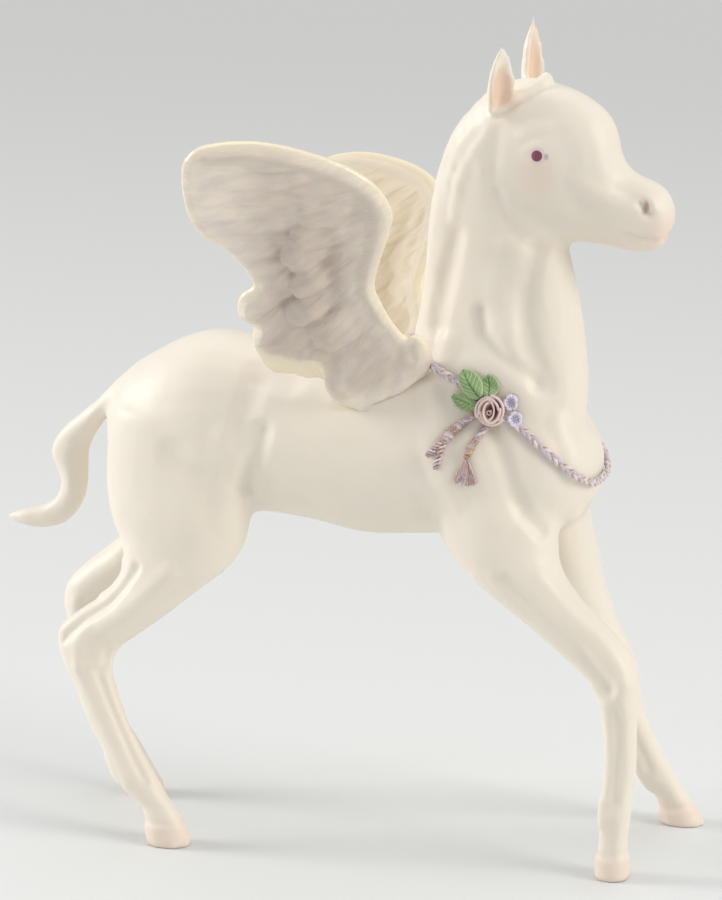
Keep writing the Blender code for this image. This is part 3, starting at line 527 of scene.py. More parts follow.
# Locks of the mane, which fall from the crest behind the ear.
MANE_FORMS = (
    (((35, -11, 236.5), (30.5, -11.3, 229.5), (26, -10.5, 223), (23, -10, 215)), 3.4, 0.35),
    (((34, -12.5, 239), (26.5, -9.2, 232), (21.5, -7.9, 224.7), (19, -7.5, 216)), 2.4, 0.25),
    (((31.5, -12, 233), (27, -10.5, 227), (22.5, -9, 219)), 2.0, -0.25),
    (((23, -10, 214.8), (21, -9.3, 206.7), (19.2, -8.5, 197)), 3.6, 0.25),
    (((21, -8.6, 214), (19, -8, 205), (17.4, -7.6, 196)), 2.2, -0.2),
    (((28, -6, 239), (21.5, -5.5, 231), (17, -5, 221)), 2.2, 0.3),
    (((15.2, -5, 208), (13.8, -5, 197), (12.6, -5.5, 186)), 3.0, 0.3),
)

# Each leg from elbow or stifle to coronet, as rows of (front x, front z, back x, back z, y).
LEGS = {
    "near_fore": (
        (59.5, 97.3, 29.5, 93.6, -17.5), (70.4, 85.4, 47.9, 81.2, -20.5), (78, 79.5, 57.5, 74.2, -22),
        (86.5, 65.2, 71.6, 62.5, -23.5), (86.7, 58, 73.4, 56.6, -23.5), (86.3, 47.6, 74.9, 46.6, -23.2),
        (85.1, 26.7, 74, 25.6, -22.8), (84.2, 19.2, 73.6, 18.3, -22.5), (83.8, 9, 72.6, 8.2, -22),
    ),
    "far_fore": (
        (61.3, 97, 45.5, 90.2, 15), (66.2, 71.5, 53.4, 65.9, 22), (69.7, 62.1, 58.4, 56, 25),
        (72.6, 51.4, 61.9, 46, 28), (73.8, 41.5, 63.7, 38.3, 29.5), (77.2, 31.6, 67, 26.2, 31.5),
        (81.4, 21.9, 71.2, 16.6, 33.5), (85.3, 14.2, 73.7, 11.8, 35.5), (90, 7.5, 77.2, 5.4, 37),
    ),
    "near_hind": (
        (-49.2, 88.7, -84, 89.2, -20), (-67.6, 73.5, -91, 77.7, -23.5), (-77.3, 66, -98, 72.9, -25),
        (-84.6, 59.9, -105.2, 65.5, -26.5), (-86, 54.7, -103.6, 57, -27.3),
        (-83.8, 47.9, -98.8, 48.2, -28.5), (-73, 27.4, -87, 26.9, -32),
        (-68.8, 21.5, -84, 20.2, -33), (-59.2, 9, -73.5, 7.6, -34),
    ),
    "far_hind": (
        (-66, 93, -93.5, 93, 15), (-90, 76, -105.8, 80.4, 17), (-100, 68.6, -113, 75, 17.5),
        (-107.2, 58, -119, 67, 17.5), (-106, 49.6, -118.6, 56, 17.5), (-104.2, 43, -116.3, 44.4, 17),
        (-96.7, 22.6, -108.7, 22.3, 15), (-92.5, 16.6, -105.8, 15.4, 14.5), (-84.8, 6.5, -97.3, 5, 13),
    ),
}
PASTERN_REACH = 5.6

# Forms along a leg as (first row, last row, share of the way from back to front, radius, height).
FORE_FORMS = (
    (0, 3, 0.85, 4, 0.8), (0, 3, 0.48, 3.6, -1.2), (0, 3, 0.15, 3.5, 0.5), (3, 4, 0.7, 4, 0.8),
    (4, 6, 0.55, 2.4, -0.8), (4, 6, 0.25, 2.4, 0.4), (6, 7, 0.15, 3.0, 0.7), (7, 8, 0.5, 3.0, -0.3),
)
HIND_FORMS = (
    (0, 3, 0.2, 3, -1.5), (0, 3, 0.02, 2.2, 0.7), (0, 2, 0.55, 5, 0.8), (3, 4, 0.45, 3.6, 0.7),
    (3, 4, 0.9, 2.5, -0.7), (4, 7, 0.8, 2.4, -0.8), (4, 7, 0.42, 3, 0.4), (6, 7, 0.1, 3.2, 0.6),
)


# Row of the knee or hock, and more than half the width of a leg.
KNEE_ROW = 3
LEG_REACH = 16


def across_leg(row, share):
    """The x and z at a share of the way from the back of a leg to its front."""
    front_x, front_z, back_x, back_z, _ = row
    return back_x + (front_x - back_x) * share, back_z + (front_z - back_z) * share


def leg_forms(skin):
    """Tendons, valleys and joints down both faces of each leg, the inner one from the knee or hock down."""
    lines = []
    for name, rows in LEGS.items():
        forms = FORE_FORMS if "fore" in name else HIND_FORMS
        for first, last, share, radius, height in forms:
            for side in (-1, 1):
                outer = rows[0][4] * side > 0
                begin = first if outer else max(first, KNEE_ROW)
                points = []
                for row in rows[begin : last + 1]:
                    x, z = across_leg(row, share)
                    y = row[4]
                    met = skin.cast((x, y + side * LEG_REACH, z), (0, -side, 0))
                    if met is not None and abs(met[0][1] - y) < LEG_REACH:
                        points.append(met[0])
                if len(points) > 1:
                    lines.append((points, radius, height))
    return lines


def coronets():
    """A groove above each hoof and a rounded edge below it."""
    lines = []
    for rows in LEGS.values():
        for drop, radius, height in ((0.0, 1.3, -0.6), (2.0, 1.8, 0.35)):
            ring = []
            for angle in np.linspace(0, 2 * math.pi, 21):
                x, z = across_leg(rows[-1], 0.5 + 0.5 * math.sin(angle))
                ring.append((x, rows[-1][4] + PASTERN_REACH * math.cos(angle), z - drop))
            lines.append((ring, radius, height))
    return lines


def tint_foal(made):
    places = places_of(made)
    x, y, z = places.T
    side = np.abs(y)

    def near(centre, radii):
        offset = (np.stack([x, side, z], axis=1) - centre) / radii
        return np.clip(1 - np.linalg.norm(offset, axis=1), 0, 1)

    blush = 0.5 * near((50, 13, 221), (9, 9, 9)) + 0.75 * near((88, 2, 202), (9, 12, 9))
    blush += 0.35 * near((75, 4, 197), (16, 10, 6))
    blush += 0.35 * smooth_step((11 - z) / 6)
    store(made, "blush", np.clip(blush, 0, 1))
    # Painted shade: a darker yellowish beige under the jaw and under the belly, where shade falls.
    shade = 0.35 * near((62, 0, 196), (26, 14, 6)) + 0.25 * near((0, 0, 100), (70, 30, 10))
    store(made, "shade", np.clip(shade, 0, 1))
    store(made, "ear", ear_hollows(places, normals_of(made)))


# Each ear's hollow as (middle, the direction it faces).
EAR_HOLLOWS = (
    ((37.8, -12.8, 250.5), (0.75, -0.66, 0.1)),
    ((40.8, 12.6, 254), (0.94, -0.34, 0.1)),
)


def ear_hollows(places, normals):
    """How much each point lies inside an ear's hollow."""
    inside = np.zeros(len(places))
    for middle, facing in EAR_HOLLOWS:
        offset = places - middle
        height = np.abs(offset[:, 2]) / 13
        turned = normals @ unit(facing)
        deep = offset @ unit(facing)
        share = smooth_step((turned - 0.25) / 0.4) * smooth_step((1.0 - height) / 0.35)
        share *= (np.linalg.norm(offset[:, :2], axis=1) < 9) * smooth_step((0.8 - deep) / 1.6)
        inside = np.maximum(inside, share)
    return inside


# Wings.

# Flight feathers, faint ones of the arm and bold lumps between them, as (base, tip, half width, height).
FLIGHT = (
    ((16, 80), (68, 84.5), 4.8, 0.9), ((18, 74), (69, 77), 4.0, 1.1), ((20, 69), (69, 70.5), 3.9, 1.0),
    ((22, 65), (68, 64), 3.8, 1.1), ((23, 61), (65, 58.5), 3.7, 1.0), ((24, 57), (60, 53.5), 3.6, 1.1),
    ((25, 53), (55, 48.5), 3.6, 1.1), ((26, 49), (51, 43), 3.8, 1.1),
)
FAINT = (
    ((22, 78), (38, 75.5), 6, 0.45), ((18, 72), (33, 69.5), 5.5, 0.45), ((8, 73), (21, 69.5), 5, 0.4),
    ((6, 64), (18, 60), 5, 0.4), ((6, 55), (18, 50), 5, 0.4), ((7, 46), (19, 41), 5, 0.45),
    ((7, 37), (17, 31), 5.5, 0.45), ((2, 26), (13, 19), 6, 0.5), ((4, 14), (22.5, -4), 9.5, 0.9),
    ((-3, 8), (11, -9), 9, 0.6), ((8, 18), (27, 3), 6, 0.6),
)
BOLD = (
    ((12, 66), (31, 62), 5.5, 1.9), ((14, 59), (34, 55), 5.2, 2.3), ((18, 53), (37, 49), 4.8, 2.0),
    ((24, 52), (34, 44.5), 4.8, 2.9), ((20, 45), (33, 36), 5.4, 3.6), ((19, 37), (34, 25), 5.6, 3.6),
    ((8, 29), (27, 15.5), 7.2, 3.6), ((23, 25), (34, 10), 5.0, 2.8), ((30, 44), (43, 36.5), 4.4, 2.0),
    ((31, 40), (51, 28), 5.8, 2.2), ((30, 33), (46, 16), 5.2, 2.6), ((27, 28), (40.5, 10), 4.8, 2.0),
    ((20, 22), (28.5, 7), 5.0, 2.0),
)

# All of them with the power that shapes their tops: the bold ones are rounder and steeper at their sides.
FEATHERS = [(*feather, 1.0) for feather in (*FLIGHT, *FAINT)] + [(*feather, 0.5) for feather in BOLD]

# The fan in which the streaks along the feathers run.
FAN_CENTRE = (-50, 95)
FAN_RADIUS = 90

# The raised arm along the wing's leading edge.
LEADING_EDGE = (
    (-4, 8), (-1.5, 16), (4.5, 26), (9.5, 36), (9, 46), (6.5, 56), (6, 63), (8, 69), (13.5, 75), (22, 79.5),
    (31, 83), (40, 85.5), (49, 86.5), (58, 85.5),
)


def feather_relief(flat):
    """Height of the overlapping feathers at flat points."""
    height = np.zeros(len(flat))
    for base, tip, half_width, rise, roundness in FEATHERS:
        base = np.array(base, float)
        along = np.array(tip, float) - base
        length = np.linalg.norm(along)
        offset = flat - base
        t = offset @ along / length**2
        across = (offset[:, 1] * along[0] - offset[:, 0] * along[1]) / length
        s = across / (half_width * (0.75 + 0.35 * np.clip(t, 0, 1)))
        rounding = min(0.9 * half_width / length, 0.5)
        end = np.clip((t - 1 + rounding) / rounding, 0, 2)
        dome = np.clip(1 - s**2 - end**2, 0, 1) ** roundness
        height = np.maximum(height, rise * smooth_step(t / 0.7) * dome * (1 - 0.2 * s))
    return height


def along_feathers(places):
    """Each point's place along and across the fan in which the feathers lie, with a little waver."""
    offset = places[:, :2] - FAN_CENTRE
    reach = np.linalg.norm(offset, axis=1)
    angle = np.arctan2(offset[:, 1], offset[:, 0])
    waver = np.stack([ripples(places, (9, 9, 9)), ripples(places + 50, (8, 8, 8))], axis=1)
    fan = np.stack([reach, FAN_RADIUS * angle], axis=1) + 1.2 * waver
    return np.column_stack([fan, places[:, 2]])


def ripples(places, scale):
    """Smooth noise from -1 to 1, read at places divided by scale along each axis."""
    return np.array([noise.noise(Vector(place)) for place in places / np.array(scale)])


def flat_wing(name, boldness):
    """A wing lying flat, with points (back, up, out), and what its material needs to know of each."""
    outline = closed_curve(WING_OUTLINE, 0.7)
    half = WING_THICKNESS / 2
    count = len(outline)
    vertices = [(u, v, n) for n in (-half, half) for u, v in outline]
    faces = [tuple(range(count))[::-1], tuple(range(count, 2 * count))]
    faces += [(i, (i + 1) % count, count + (i + 1) % count, count + i) for i in range(count)]
    wing = piece_from(name, vertices, faces)
    mesh = bmesh.new()
    mesh.from_mesh(wing.data)
    bmesh.ops.triangulate(mesh, faces=mesh.faces)
    bmesh.ops.recalc_face_normals(mesh, faces=mesh.faces)
    mesh.to_mesh(wing.data)
    mesh.free()
    fuse(wing, WING_VOXEL, 8)
    places = places_of(wing)
    flat = places[:, :2]
    reach = distance_to(outline, flat, closed=True)
    relief = feather_relief(flat)
    own = along_feathers(places)
    arm = np.clip(1 - (distance_to(LEADING_EDGE, flat) / 5.0) ** 2, 0, 1) ** 1.5
    arm *= smooth_step((flat[:, 1] - 14) / 16)
    crumpled = smooth_step((54 - flat[:, 0]) / 22) * (1 - arm)
    relief = relief * (1 + 0.5 * ripples(places, (7, 7, 7)))
    relief += crumpled * 0.5 * ripples(own, (9, 2.2, 3)) + 0.16 * ripples(own, (30, 1.6, 3))
    relief += crumpled * 0.8 * ripples(places, (6, 6, 6))
    height = np.maximum(relief, 1.3 * arm)
    height *= boldness * smooth_step(reach / 3.0)
    side = np.clip(places[:, 2] / half, -1, 1)
    places[:, 2] += side * height * np.where(side > 0, 1.0, 0.7)
    return wing, places, reach, height, own


def wing_axes(side, turn, lean, tip_back):
    """A wing's directions back, up and out, from its angles in degrees."""
    turn, lean, tip_back = (math.radians(angle) for angle in (turn, lean, tip_back))
    back = np.array((-math.cos(turn), side * math.sin(turn), 0))
    up = np.array((0, side * math.sin(lean), math.cos(lean)))
    up = unit(up - (up @ back) * back)
    out = side * np.cross(back, up)
    return (
        math.cos(tip_back) * back - math.sin(tip_back) * up,
        math.sin(tip_back) * back + math.cos(tip_back) * up,
        out,
    )


def wing(name, node, skin, side, pose, boldness, finish):
    """Stands a wing on its root, bowed outwards, with its lower edge laid over the body."""
    made, flat, reach, height, own = flat_wing(name, boldness)
    (x, y, z), turn, lean, tip_back = pose
    root = np.array((x, side * y, z))
    back, up, out = wing_axes(side, turn, lean, tip_back)
    half = WING_THICKNESS / 2
    fade = smooth_step((15 - flat[:, 0]) / 9) * smooth_step((16 - flat[:, 1]) / 10)
    taper = 1 - fade * (1 - smooth_step(reach / 9.0))
    raised = np.empty_like(flat)
    for i, (u, v, n) in enumerate(flat):
        inner = min(max(0.5 - n / (2 * half), 0), 1)
        low = min(max(1 - v / ROOT_REACH, 0), 1)
        sheet = root + u * back + v * up
        bow = WING_CAMBER * math.sin(math.pi * min(max(v / 90, 0), 1))
        n_out = n + bow
        met = skin.cast(sheet + 70 * out, -out)
        if met is not None:
            rest = (met[0] - sheet) @ out - WING_SINK
            lying = rest + (n + half) * taper[i]
            n_out = max(n_out, lying) if n_out * taper[i] > rest else lying
        point = sheet + n_out * out
        pull = inner * low**2 * (3 - 2 * low)
        point += (skin.lifted(point, -WING_SINK) - point) * pull
        raised[i] = point
    set_places(made, raised)
    if side < 0:
        made.data.flip_normals()
    soften(made, 2)
    tint_wing(made, flat, reach, height, fade)
    store(made, "feather", own)
    finish.on(made)
    finished(made, "pearl", node)


def tint_wing(made, flat, reach, height, fade):
    """Keeps where the rim is pale, and where shade is painted: in the hollows among the lumps, over the
    wing's middle, and in a band beside the leading edge.
    """
    u, v = flat[:, 0], flat[:, 1]
    store(made, "rim", np.exp(-reach / 1.5) * (1 - fade))
    # Painted shade: darker among the lumps, most where the relief is low, and over the wing's middle.
    among_lumps = smooth_step((50 - u) / 14) * smooth_step((u - 12) / 10) * smooth_step((66 - v) / 8)
    deep = smooth_step((0.9 - height) / 1.2) * smooth_step((reach - 2) / 4)
    middle = smooth_step((reach - 2) / 8) * smooth_step((58 - u) / 20)
    store(made, "hollow_shade", np.maximum(0.4 * middle, among_lumps * (0.55 + 0.4 * deep)))
    # Painted shade in a band beside the leading edge.
    beside_arm = np.exp(-(((distance_to(LEADING_EDGE, flat[:, :2]) - 2.0) / 2.2) ** 2))
    store(made, "edge_shade", 0.6 * beside_arm * smooth_step((reach - 1) / 2))


def finished(made, slot, *nodes):
    """Puts a piece on the one body, in place of its nodes; the slot is not used."""
    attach(made, "root")
    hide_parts(*nodes)


# Garland.


def braid_line(skin):
    """Closed line round the base of the neck, half the braid's width clear of the body."""
    top = np.array(GARLAND_TOP)
    low = np.array(GARLAND_LOW)
    centre = (top + low) / 2
    ahead = unit(low - top)
    above = np.cross(ahead, (0, 1, 0))
    above = above * np.sign(above[2])
    lift = BRAID_WIDTH / 2
    points = []
    for angle in np.linspace(0, 2 * math.pi, 180, endpoint=False):
        direction = math.cos(angle) * ahead + math.sin(angle) * np.array((0, 1, 0))
        bow = GARLAND_BOW * (1 - math.cos(angle) ** 4) * above
        hit, normal = skin.cast(centre + bow + 90 * direction, -direction)
        points.append(hit + normal * lift)
    points = np.array(points)
    for _ in range(12):
        points = (np.roll(points, 1, axis=0) + 2 * points + np.roll(points, -1, axis=0)) / 4
        for i, point in enumerate(points):
            hit, normal = skin.nearest(point)
            if (point - hit) @ normal < lift:
                points[i] = hit + normal * lift
    return points


class Shape:
    """Points, faces and marks of one piece, gathered from tubes and sheets."""

    def __init__(self):
        self.points = []
        self.faces = []
        self.marks = []

    def grid(self, places, marks, round_about=False, looped=False):
        """Adds a grid of places, closed across itself if round_about, and end to end if looped."""
        rows, columns = places.shape[:2]
        start = sum(len(part) for part in self.points)
        self.points.append(places.reshape(-1, 3))
        self.marks.append(np.broadcast_to(marks, places.shape).reshape(-1, 3))
        for i in range(rows if looped else rows - 1):
            a = start + i * columns
            b = start + (i + 1) % rows * columns
            for j in range(columns if round_about else columns - 1):
                k = (j + 1) % columns
                self.faces.append((a + j, a + k, b + k, b + j))
        if round_about and not looped:
            self.faces.append(tuple(range(start, start + columns))[::-1])
            self.faces.append(tuple(range(start + (rows - 1) * columns, start + rows * columns)))

    def thread(self, line, radius, tone, normals, looped=False, sides=8):
        """Adds a round thread of one tone along a line."""
        line = np.asarray(line, float)
        if looped:
            tangents = unit(np.roll(line, -1, axis=0) - np.roll(line, 1, axis=0))
        else:
            tangents = unit(np.gradient(line, axis=0))
        side = unit(np.cross(tangents, normals))
        up = np.cross(side, tangents)
        angles = np.arange(sides) * 2 * math.pi / sides
        reach = np.broadcast_to(radius, len(line))[:, None, None]
        around = np.cos(angles)[None, :, None] * side[:, None] + np.sin(angles)[None, :, None] * up[:, None]
        self.grid(line[:, None] + reach * around, (*tone, 0.0), round_about=True, looped=looped)

    def piece(self, name, finish, slot, node, thickness=0.0, levels=0):
        made = piece_from(name, np.vstack(self.points), self.faces)
        store(made, "mark", np.vstack(self.marks))
        mesh = bmesh.new()
        mesh.from_mesh(made.data)
        bmesh.ops.recalc_face_normals(mesh, faces=mesh.faces)
        mesh.to_mesh(made.data)
        mesh.free()
        if thickness:
            thicken = made.modifiers.new("Thickness", "SOLIDIFY")
            thicken.thickness = thickness * MM
            thicken.offset = 0.0
        if levels:
            rounded = made.modifiers.new("Rounded", "SUBSURF")
            rounded.levels = levels
            rounded.render_levels = levels
        settle(made)
        finish.on(made)
        finished(made, slot, node)


def painted(name, first, second, gold):
    """Painted bisque thread: its tone says how far it goes from first to second colour, and to gold."""
    finish = Finish(name, 0.45, Coat_Weight=0.25, Coat_Roughness=0.3)
    marks = finish.marks()
    drift = finish.ranged(finish.noise(900, 2.0), 0.4, 0.6, -0.25, 0.25)
    base = finish.mix(finish.math("ADD", marks["X"], drift), first, second)
    fibres = finish.noise(2600, 2.0)
    base = finish.mix(finish.ranged(fibres, 0.52, 0.62, 0.0, 0.5), base, (0.40, 0.30, 0.38))
    base = finish.mix(marks["Y"], base, gold)
    finish.colour(base)
    finish.bump(fibres, 0.12)
    return finish


def braid(skin, finish):
    """Three strands plaited flat, with a gold thread beside two of them."""
    line = closed_curve(braid_line(skin), 0.4)
    normals = np.array([skin.nearest(point)[1] for point in line])
    across = np.cross(unit(np.roll(line, -1, axis=0) - np.roll(line, 1, axis=0)), normals)
    steps = np.linalg.norm(line - np.roll(line, 1, axis=0), axis=1)
    length = steps.sum()
    turns = round(length / STRAND_PITCH)
    travel = np.cumsum(steps) / length * turns * 2 * math.pi
    shape = Shape()
    for strand, tone in enumerate((0.1, 0.9, 0.5)):
        phase = (travel + strand * 2 * math.pi / 3)[:, None]
        route = line + across * 0.72 * np.sin(phase) + normals * (0.3 * np.sin(2 * phase) + 0.05)
        shape.thread(route, STRAND_RADIUS, (tone, 0.0), normals, looped=True)
        if strand < 2:
            beside = phase + 0.75
            route = line + across * 0.95 * np.sin(beside) + normals * (0.34 * np.sin(2 * beside) + 0.32)
            shape.thread(route, GOLD_RADIUS, GOLD_TONE, normals, looped=True)
    shape.piece("braid", finish, "braid_lilac", "garland_braid")


def seat(skin, place, height):
    """Centre and axes of a flower on the right side: two across it and one out of it."""
    centre = skin.right_side(place, height)
    _, out = skin.nearest(centre)
    along = unit(np.cross((0, 0, 1), out))
    return centre, along, np.cross(out, along), out


# Rings of the rose's petals, from the outside in: how many, the first one's angle, the half angle of each,
# the squeeze that makes the inner ones an upright oval, and the petal's profile as (reach, level).
ROSE_PETALS = (
    (3, 20, 72, 1.0, ((0.5, -1.2), (2.6, -0.9), (3.7, 0.3), (4.1, 1.4), (4.35, 1.6), (4.75, 1.1))),
    (2, 100, 98, 0.86, ((0.5, -0.8), (2.2, -0.2), (3.1, 1.3), (3.45, 2.3), (3.75, 2.4), (4.1, 2.0))),
    (2, 0, 95, 0.6, ((0.4, -0.5), (1.7, 0.6), (2.4, 2.0), (2.65, 2.8), (2.9, 3.1), (3.25, 2.9))),
)


def petal(shape, axes, angle, half_angle, squeeze, profile):
    """Adds one cupped petal: its profile swept round the rose, drawn in at its sides."""
    centre, along, across, out = axes
    rows = resample([(reach, 0, level) for reach, level in profile], 0.35)
    places = []
    marks = []
    for a in np.linspace(-1, 1, 15):
        turn = math.radians(angle + half_angle * a)
        tuck = 1 + 0.09 * a
        fall = 1 - 0.22 * a**4
        reach = rows[:, 0] * tuck
        level = np.where(rows[:, 2] > 0, rows[:, 2] * fall, rows[:, 2])
        flat = along * math.cos(turn) * squeeze + across * math.sin(turn)
        places.append(centre + reach[:, None] * flat + level[:, None] * out)
        marks.append([(0.0, t, 0.0) for t in np.linspace(0, 1, len(rows))])
    shape.grid(np.array(places), np.array(marks))


def rose(skin, finish):
    """Petals cupped round a rolled heart."""
    axes = seat(skin, ROSE_PLACE, BRAID_WIDTH + 0.9)
    centre, along, across, out = axes
    shape = Shape()
    for count, first, half_angle, squeeze, profile in ROSE_PETALS:
        for number in range(count):
            petal(shape, axes, first + 360 * number / count, half_angle, squeeze, profile)
    places = []
    for turn in np.linspace(0, 2.3 * math.pi, 45):
        reach = 0.38 + 0.075 * turn
        low = centre - across * 0.35
        flat = (along * math.cos(turn) * 0.9 + across * math.sin(turn)) * reach
        places.append([low + flat * (1.1 - 0.1 * t) + out * 2.9 * t for t in np.linspace(-0.1, 1, 8)])
    shape.grid(np.array(places), (0.0, 0.7, 0.0))
    shape.piece("rose_bloom", finish, "dusty_pink", "rose", thickness=0.34, levels=1)


def rose_paint():
    """Dusty pink, paler towards each petal's lip, which the marks' Y tells."""
    finish = Finish("rose_paint", 0.42, Coat_Weight=0.3, Coat_Roughness=0.3)
    lip = finish.ranged(finish.marks()["Y"], 0.25, 0.85)
    base = finish.mix(lip, (0.40, 0.19, 0.22), (0.84, 0.67, 0.62))
    base = finish.mix(finish.ranged(finish.noise(700, 2.0), 0.4, 0.7, 0.0, 0.3), base, (0.72, 0.48, 0.48))
    finish.colour(base)
    finish.bump(finish.noise(1800, 2.0), 0.04)
    return finish


# Leaves as (root, tip, half width, lift over the leaves beside it), in side view.
LEAVES = (
    ((34.4, 150.6), (28.2, 158.2), 2.8, 1.25),
    ((37.0, 150.8), (35.6, 157.4), 2.8, 0.0),
    ((33.2, 147.5), (24.0, 149.4), 2.7, 0.0),
)
LEAF_THICKNESS = 0.9


def leaf(number, skin, line, finish):
    """A broad pointed leaf, creased along its middle, with veins pressed into it."""
    root, tip, half_width, lift = LEAVES[number]
    root = np.array(root)
    along = np.array(tip) - root
    across = unit(np.array((-along[1], along[0])))
    braid_below = line[line[:, 1] < 0][:, [0, 2]]
    on_braid = BRAID_WIDTH * 1.12
    steps = np.linspace(-1, 1, 21)
    tops = []
    bottoms = []
    marks = []
    for t in np.linspace(0, 1, 31):
        wide = half_width * max(0.25 + 3.1 * t - 3.35 * t**2, 0) ** 0.8 * 1.04 + 0.12
        top = []
        bottom = []
        for s in steps:
            place = root + along * t + across * wide * s
            off = np.linalg.norm(braid_below - place, axis=1).min() - BRAID_WIDTH * 0.75
            rest = 0.35 + lift + on_braid * smooth_step(1 - off / 3.5)
            crease = -0.5 * math.exp(-((s / 0.12) ** 2)) * (1 - t)
            vein = 0.09 * math.cos(2 * math.pi * (t * 6 - abs(s) * 2.2))
            ruffle = 0.14 * math.sin(9 * t + s) * s**2
            base = skin.right_side(place, 0.0)
            _, normal = skin.nearest(base)
            rise = rest + LEAF_THICKNESS * (1 - 0.45 * s**2) + crease + vein * (1 - s**2) + ruffle
            top.append(base + normal * rise)
            bottom.append(base + normal * (rest + 0.2 * s**2 + ruffle))
        tops.append(top)
        bottoms.append(bottom[::-1])
        marks.append([(t, s, 0.0) for s in (*steps, *steps[::-1])])
    shape = Shape()
    grid = np.concatenate([np.array(tops), np.array(bottoms)], axis=1)
    shape.grid(grid, np.array(marks), round_about=True)
    shape.piece(f"leaf_blade_{number + 1}", finish, "leaf_green", f"leaf_{number + 1}")


def leaf_paint():
    """Green with pale veins and edges and a dark crease; the marks tell the place along and across."""
    finish = Finish("leaf_paint", 0.38, Coat_Weight=0.35, Coat_Roughness=0.25)
    marks = finish.marks()
    side = finish.math("ABSOLUTE", marks["Y"], 0.0)
    along = finish.math("MULTIPLY", marks["X"], 6.0)
    wave = finish.math("SUBTRACT", along, finish.math("MULTIPLY", side, 2.2))
    vein = finish.math("COSINE", finish.math("MULTIPLY", wave, 2 * math.pi), 0.0)
    base = finish.mix(finish.noise(500, 2.0), (0.14, 0.27, 0.07), (0.30, 0.44, 0.19))
    base = finish.mix(finish.ranged(vein, 0.7, 1.0, 0.0, 0.65), base, (0.60, 0.68, 0.46))
    base = finish.mix(finish.ranged(side, 0.8, 1.0, 0.0, 0.65), base, (0.62, 0.70, 0.46))
    base = finish.mix(finish.ranged(side, 0.0, 0.12, 0.85, 0.0), base, (0.04, 0.10, 0.03))
    finish.colour(base)
    finish.bump(finish.noise(1500, 2.0), 0.05)
    return finish


# Blossoms as (place, width, lift, squeeze), in side view.
BLOSSOMS = (
    ((43.1, 149.6), 5.0, 2.0, 0.85),
    ((44.5, 144.3), 4.6, 3.3, 0.95),
)

# A blossom's profile from its rim to its heart, as (reach, level).
BLOSSOM_PROFILE = (
    (1.0, 0.0), (1.08, 0.35), (1.0, 0.62), (0.84, 0.66), (0.62, 0.45), (0.36, 0.22), (0.12, 0.32), (0, 0.36),
)


def blossom(number, skin, finish):
    """Five round petals in a dished ring with marks running into its heart."""
    place, width, lift, squeeze = BLOSSOMS[number]
    centre, along, across, out = seat(skin, place, lift)
    rows = resample([(reach, 0, level) for reach, level in BLOSSOM_PROFILE], 0.07)
    places = []
    marks = []
    for turn in np.linspace(0, 2 * math.pi, 60, endpoint=False):
        lobe = 1 - 0.13 * (1 - abs(math.sin(2.5 * turn))) ** 2
        flat = along * math.cos(turn) * squeeze + across * math.sin(turn)
        reach = rows[:, 0] * lobe * width / 2
        furrow = 1 - 0.3 * (1 - abs(math.sin(2.5 * turn))) ** 3
        level = rows[:, 2] * 2.2 * furrow - 1.2 * (np.arange(len(rows)) == 0)
        places.append(centre + reach[:, None] * flat + level[:, None] * out)
        marks.append([(reach_share, math.sin(turn * 9), 0.0) for reach_share in rows[:, 0]])
    shape = Shape()
    shape.grid(np.array(places), np.array(marks), looped=True)
    shape.piece(f"blossom_bloom_{number + 1}", finish, "pale_lilac", f"blossom_{number + 1}")


def blossom_paint():
    """Pale lilac with dark rays near the heart; the marks tell the reach from it and the rays."""
    finish = Finish("blossom_paint", 0.42, Coat_Weight=0.25, Coat_Roughness=0.3)
    marks = finish.marks()
    base = finish.mix(finish.noise(900, 2.0), (0.66, 0.60, 0.76), (0.84, 0.80, 0.88))
    ray = finish.math("MULTIPLY", finish.ranged(marks["Y"], 0.1, 0.7), finish.ranged(marks["X"], 0.7, 0.55))
    base = finish.mix(finish.math("MULTIPLY", ray, 0.85), base, (0.14, 0.10, 0.24))
    finish.colour(base)
    finish.bump(finish.noise(1800, 2.0), 0.04)
    return finish


# Each tassel's cord from under the rose to where it frays, in side view.
TASSEL_CORDS = (
    ((33.0, 145.2), (30.6, 143.6), (28.0, 141.6), (25.4, 139.2), (23.6, 137.0)),
    ((36.8, 143.2), (35.2, 140.6), (33.4, 137.6), (31.8, 134.6), (31.2, 132.4)),
)

# Windings of both cords, then of each cord's knot, as (reach, radius, tones, turns, first and last share).
KNOT_TONES = (MAUVE_TONE, LILAC_TONE, WHITE_TONE)
CORD_WINDINGS = (
    ((0.3, 0.55, 0.4), 0.55, (LILAC_TONE, WHITE_TONE, LILAC_TONE), 1.2, 0.0, 0.62),
    ((0.75, 0.95), 0.26, (GOLD_TONE,), 2.2, 0.0, 0.14),
)
KNOT_WINDINGS = (
    (
        ((0.6, 1.1, 0.8), 0.45, KNOT_TONES, 2.3, 0.4, 0.72),
        ((0.7, 1.3, 0.9), 0.48, KNOT_TONES, 2.2, 0.68, 1.0),
        ((1.0, 1.65, 1.2), 0.2, (GOLD_TONE,), 9.0, 0.4, 1.0),
    ),
    (
        ((0.85, 1.0), 0.28, (GOLD_TONE,), 2.5, 0.5, 0.62),
        ((0.5, 1.1, 0.7), 0.42, (MAUVE_TONE, LILAC_TONE, GOLD_TONE), 2.2, 0.6, 0.9),
        ((0.8, 1.1), 0.28, (GOLD_TONE,), 2.5, 0.86, 1.0),
    ),
)

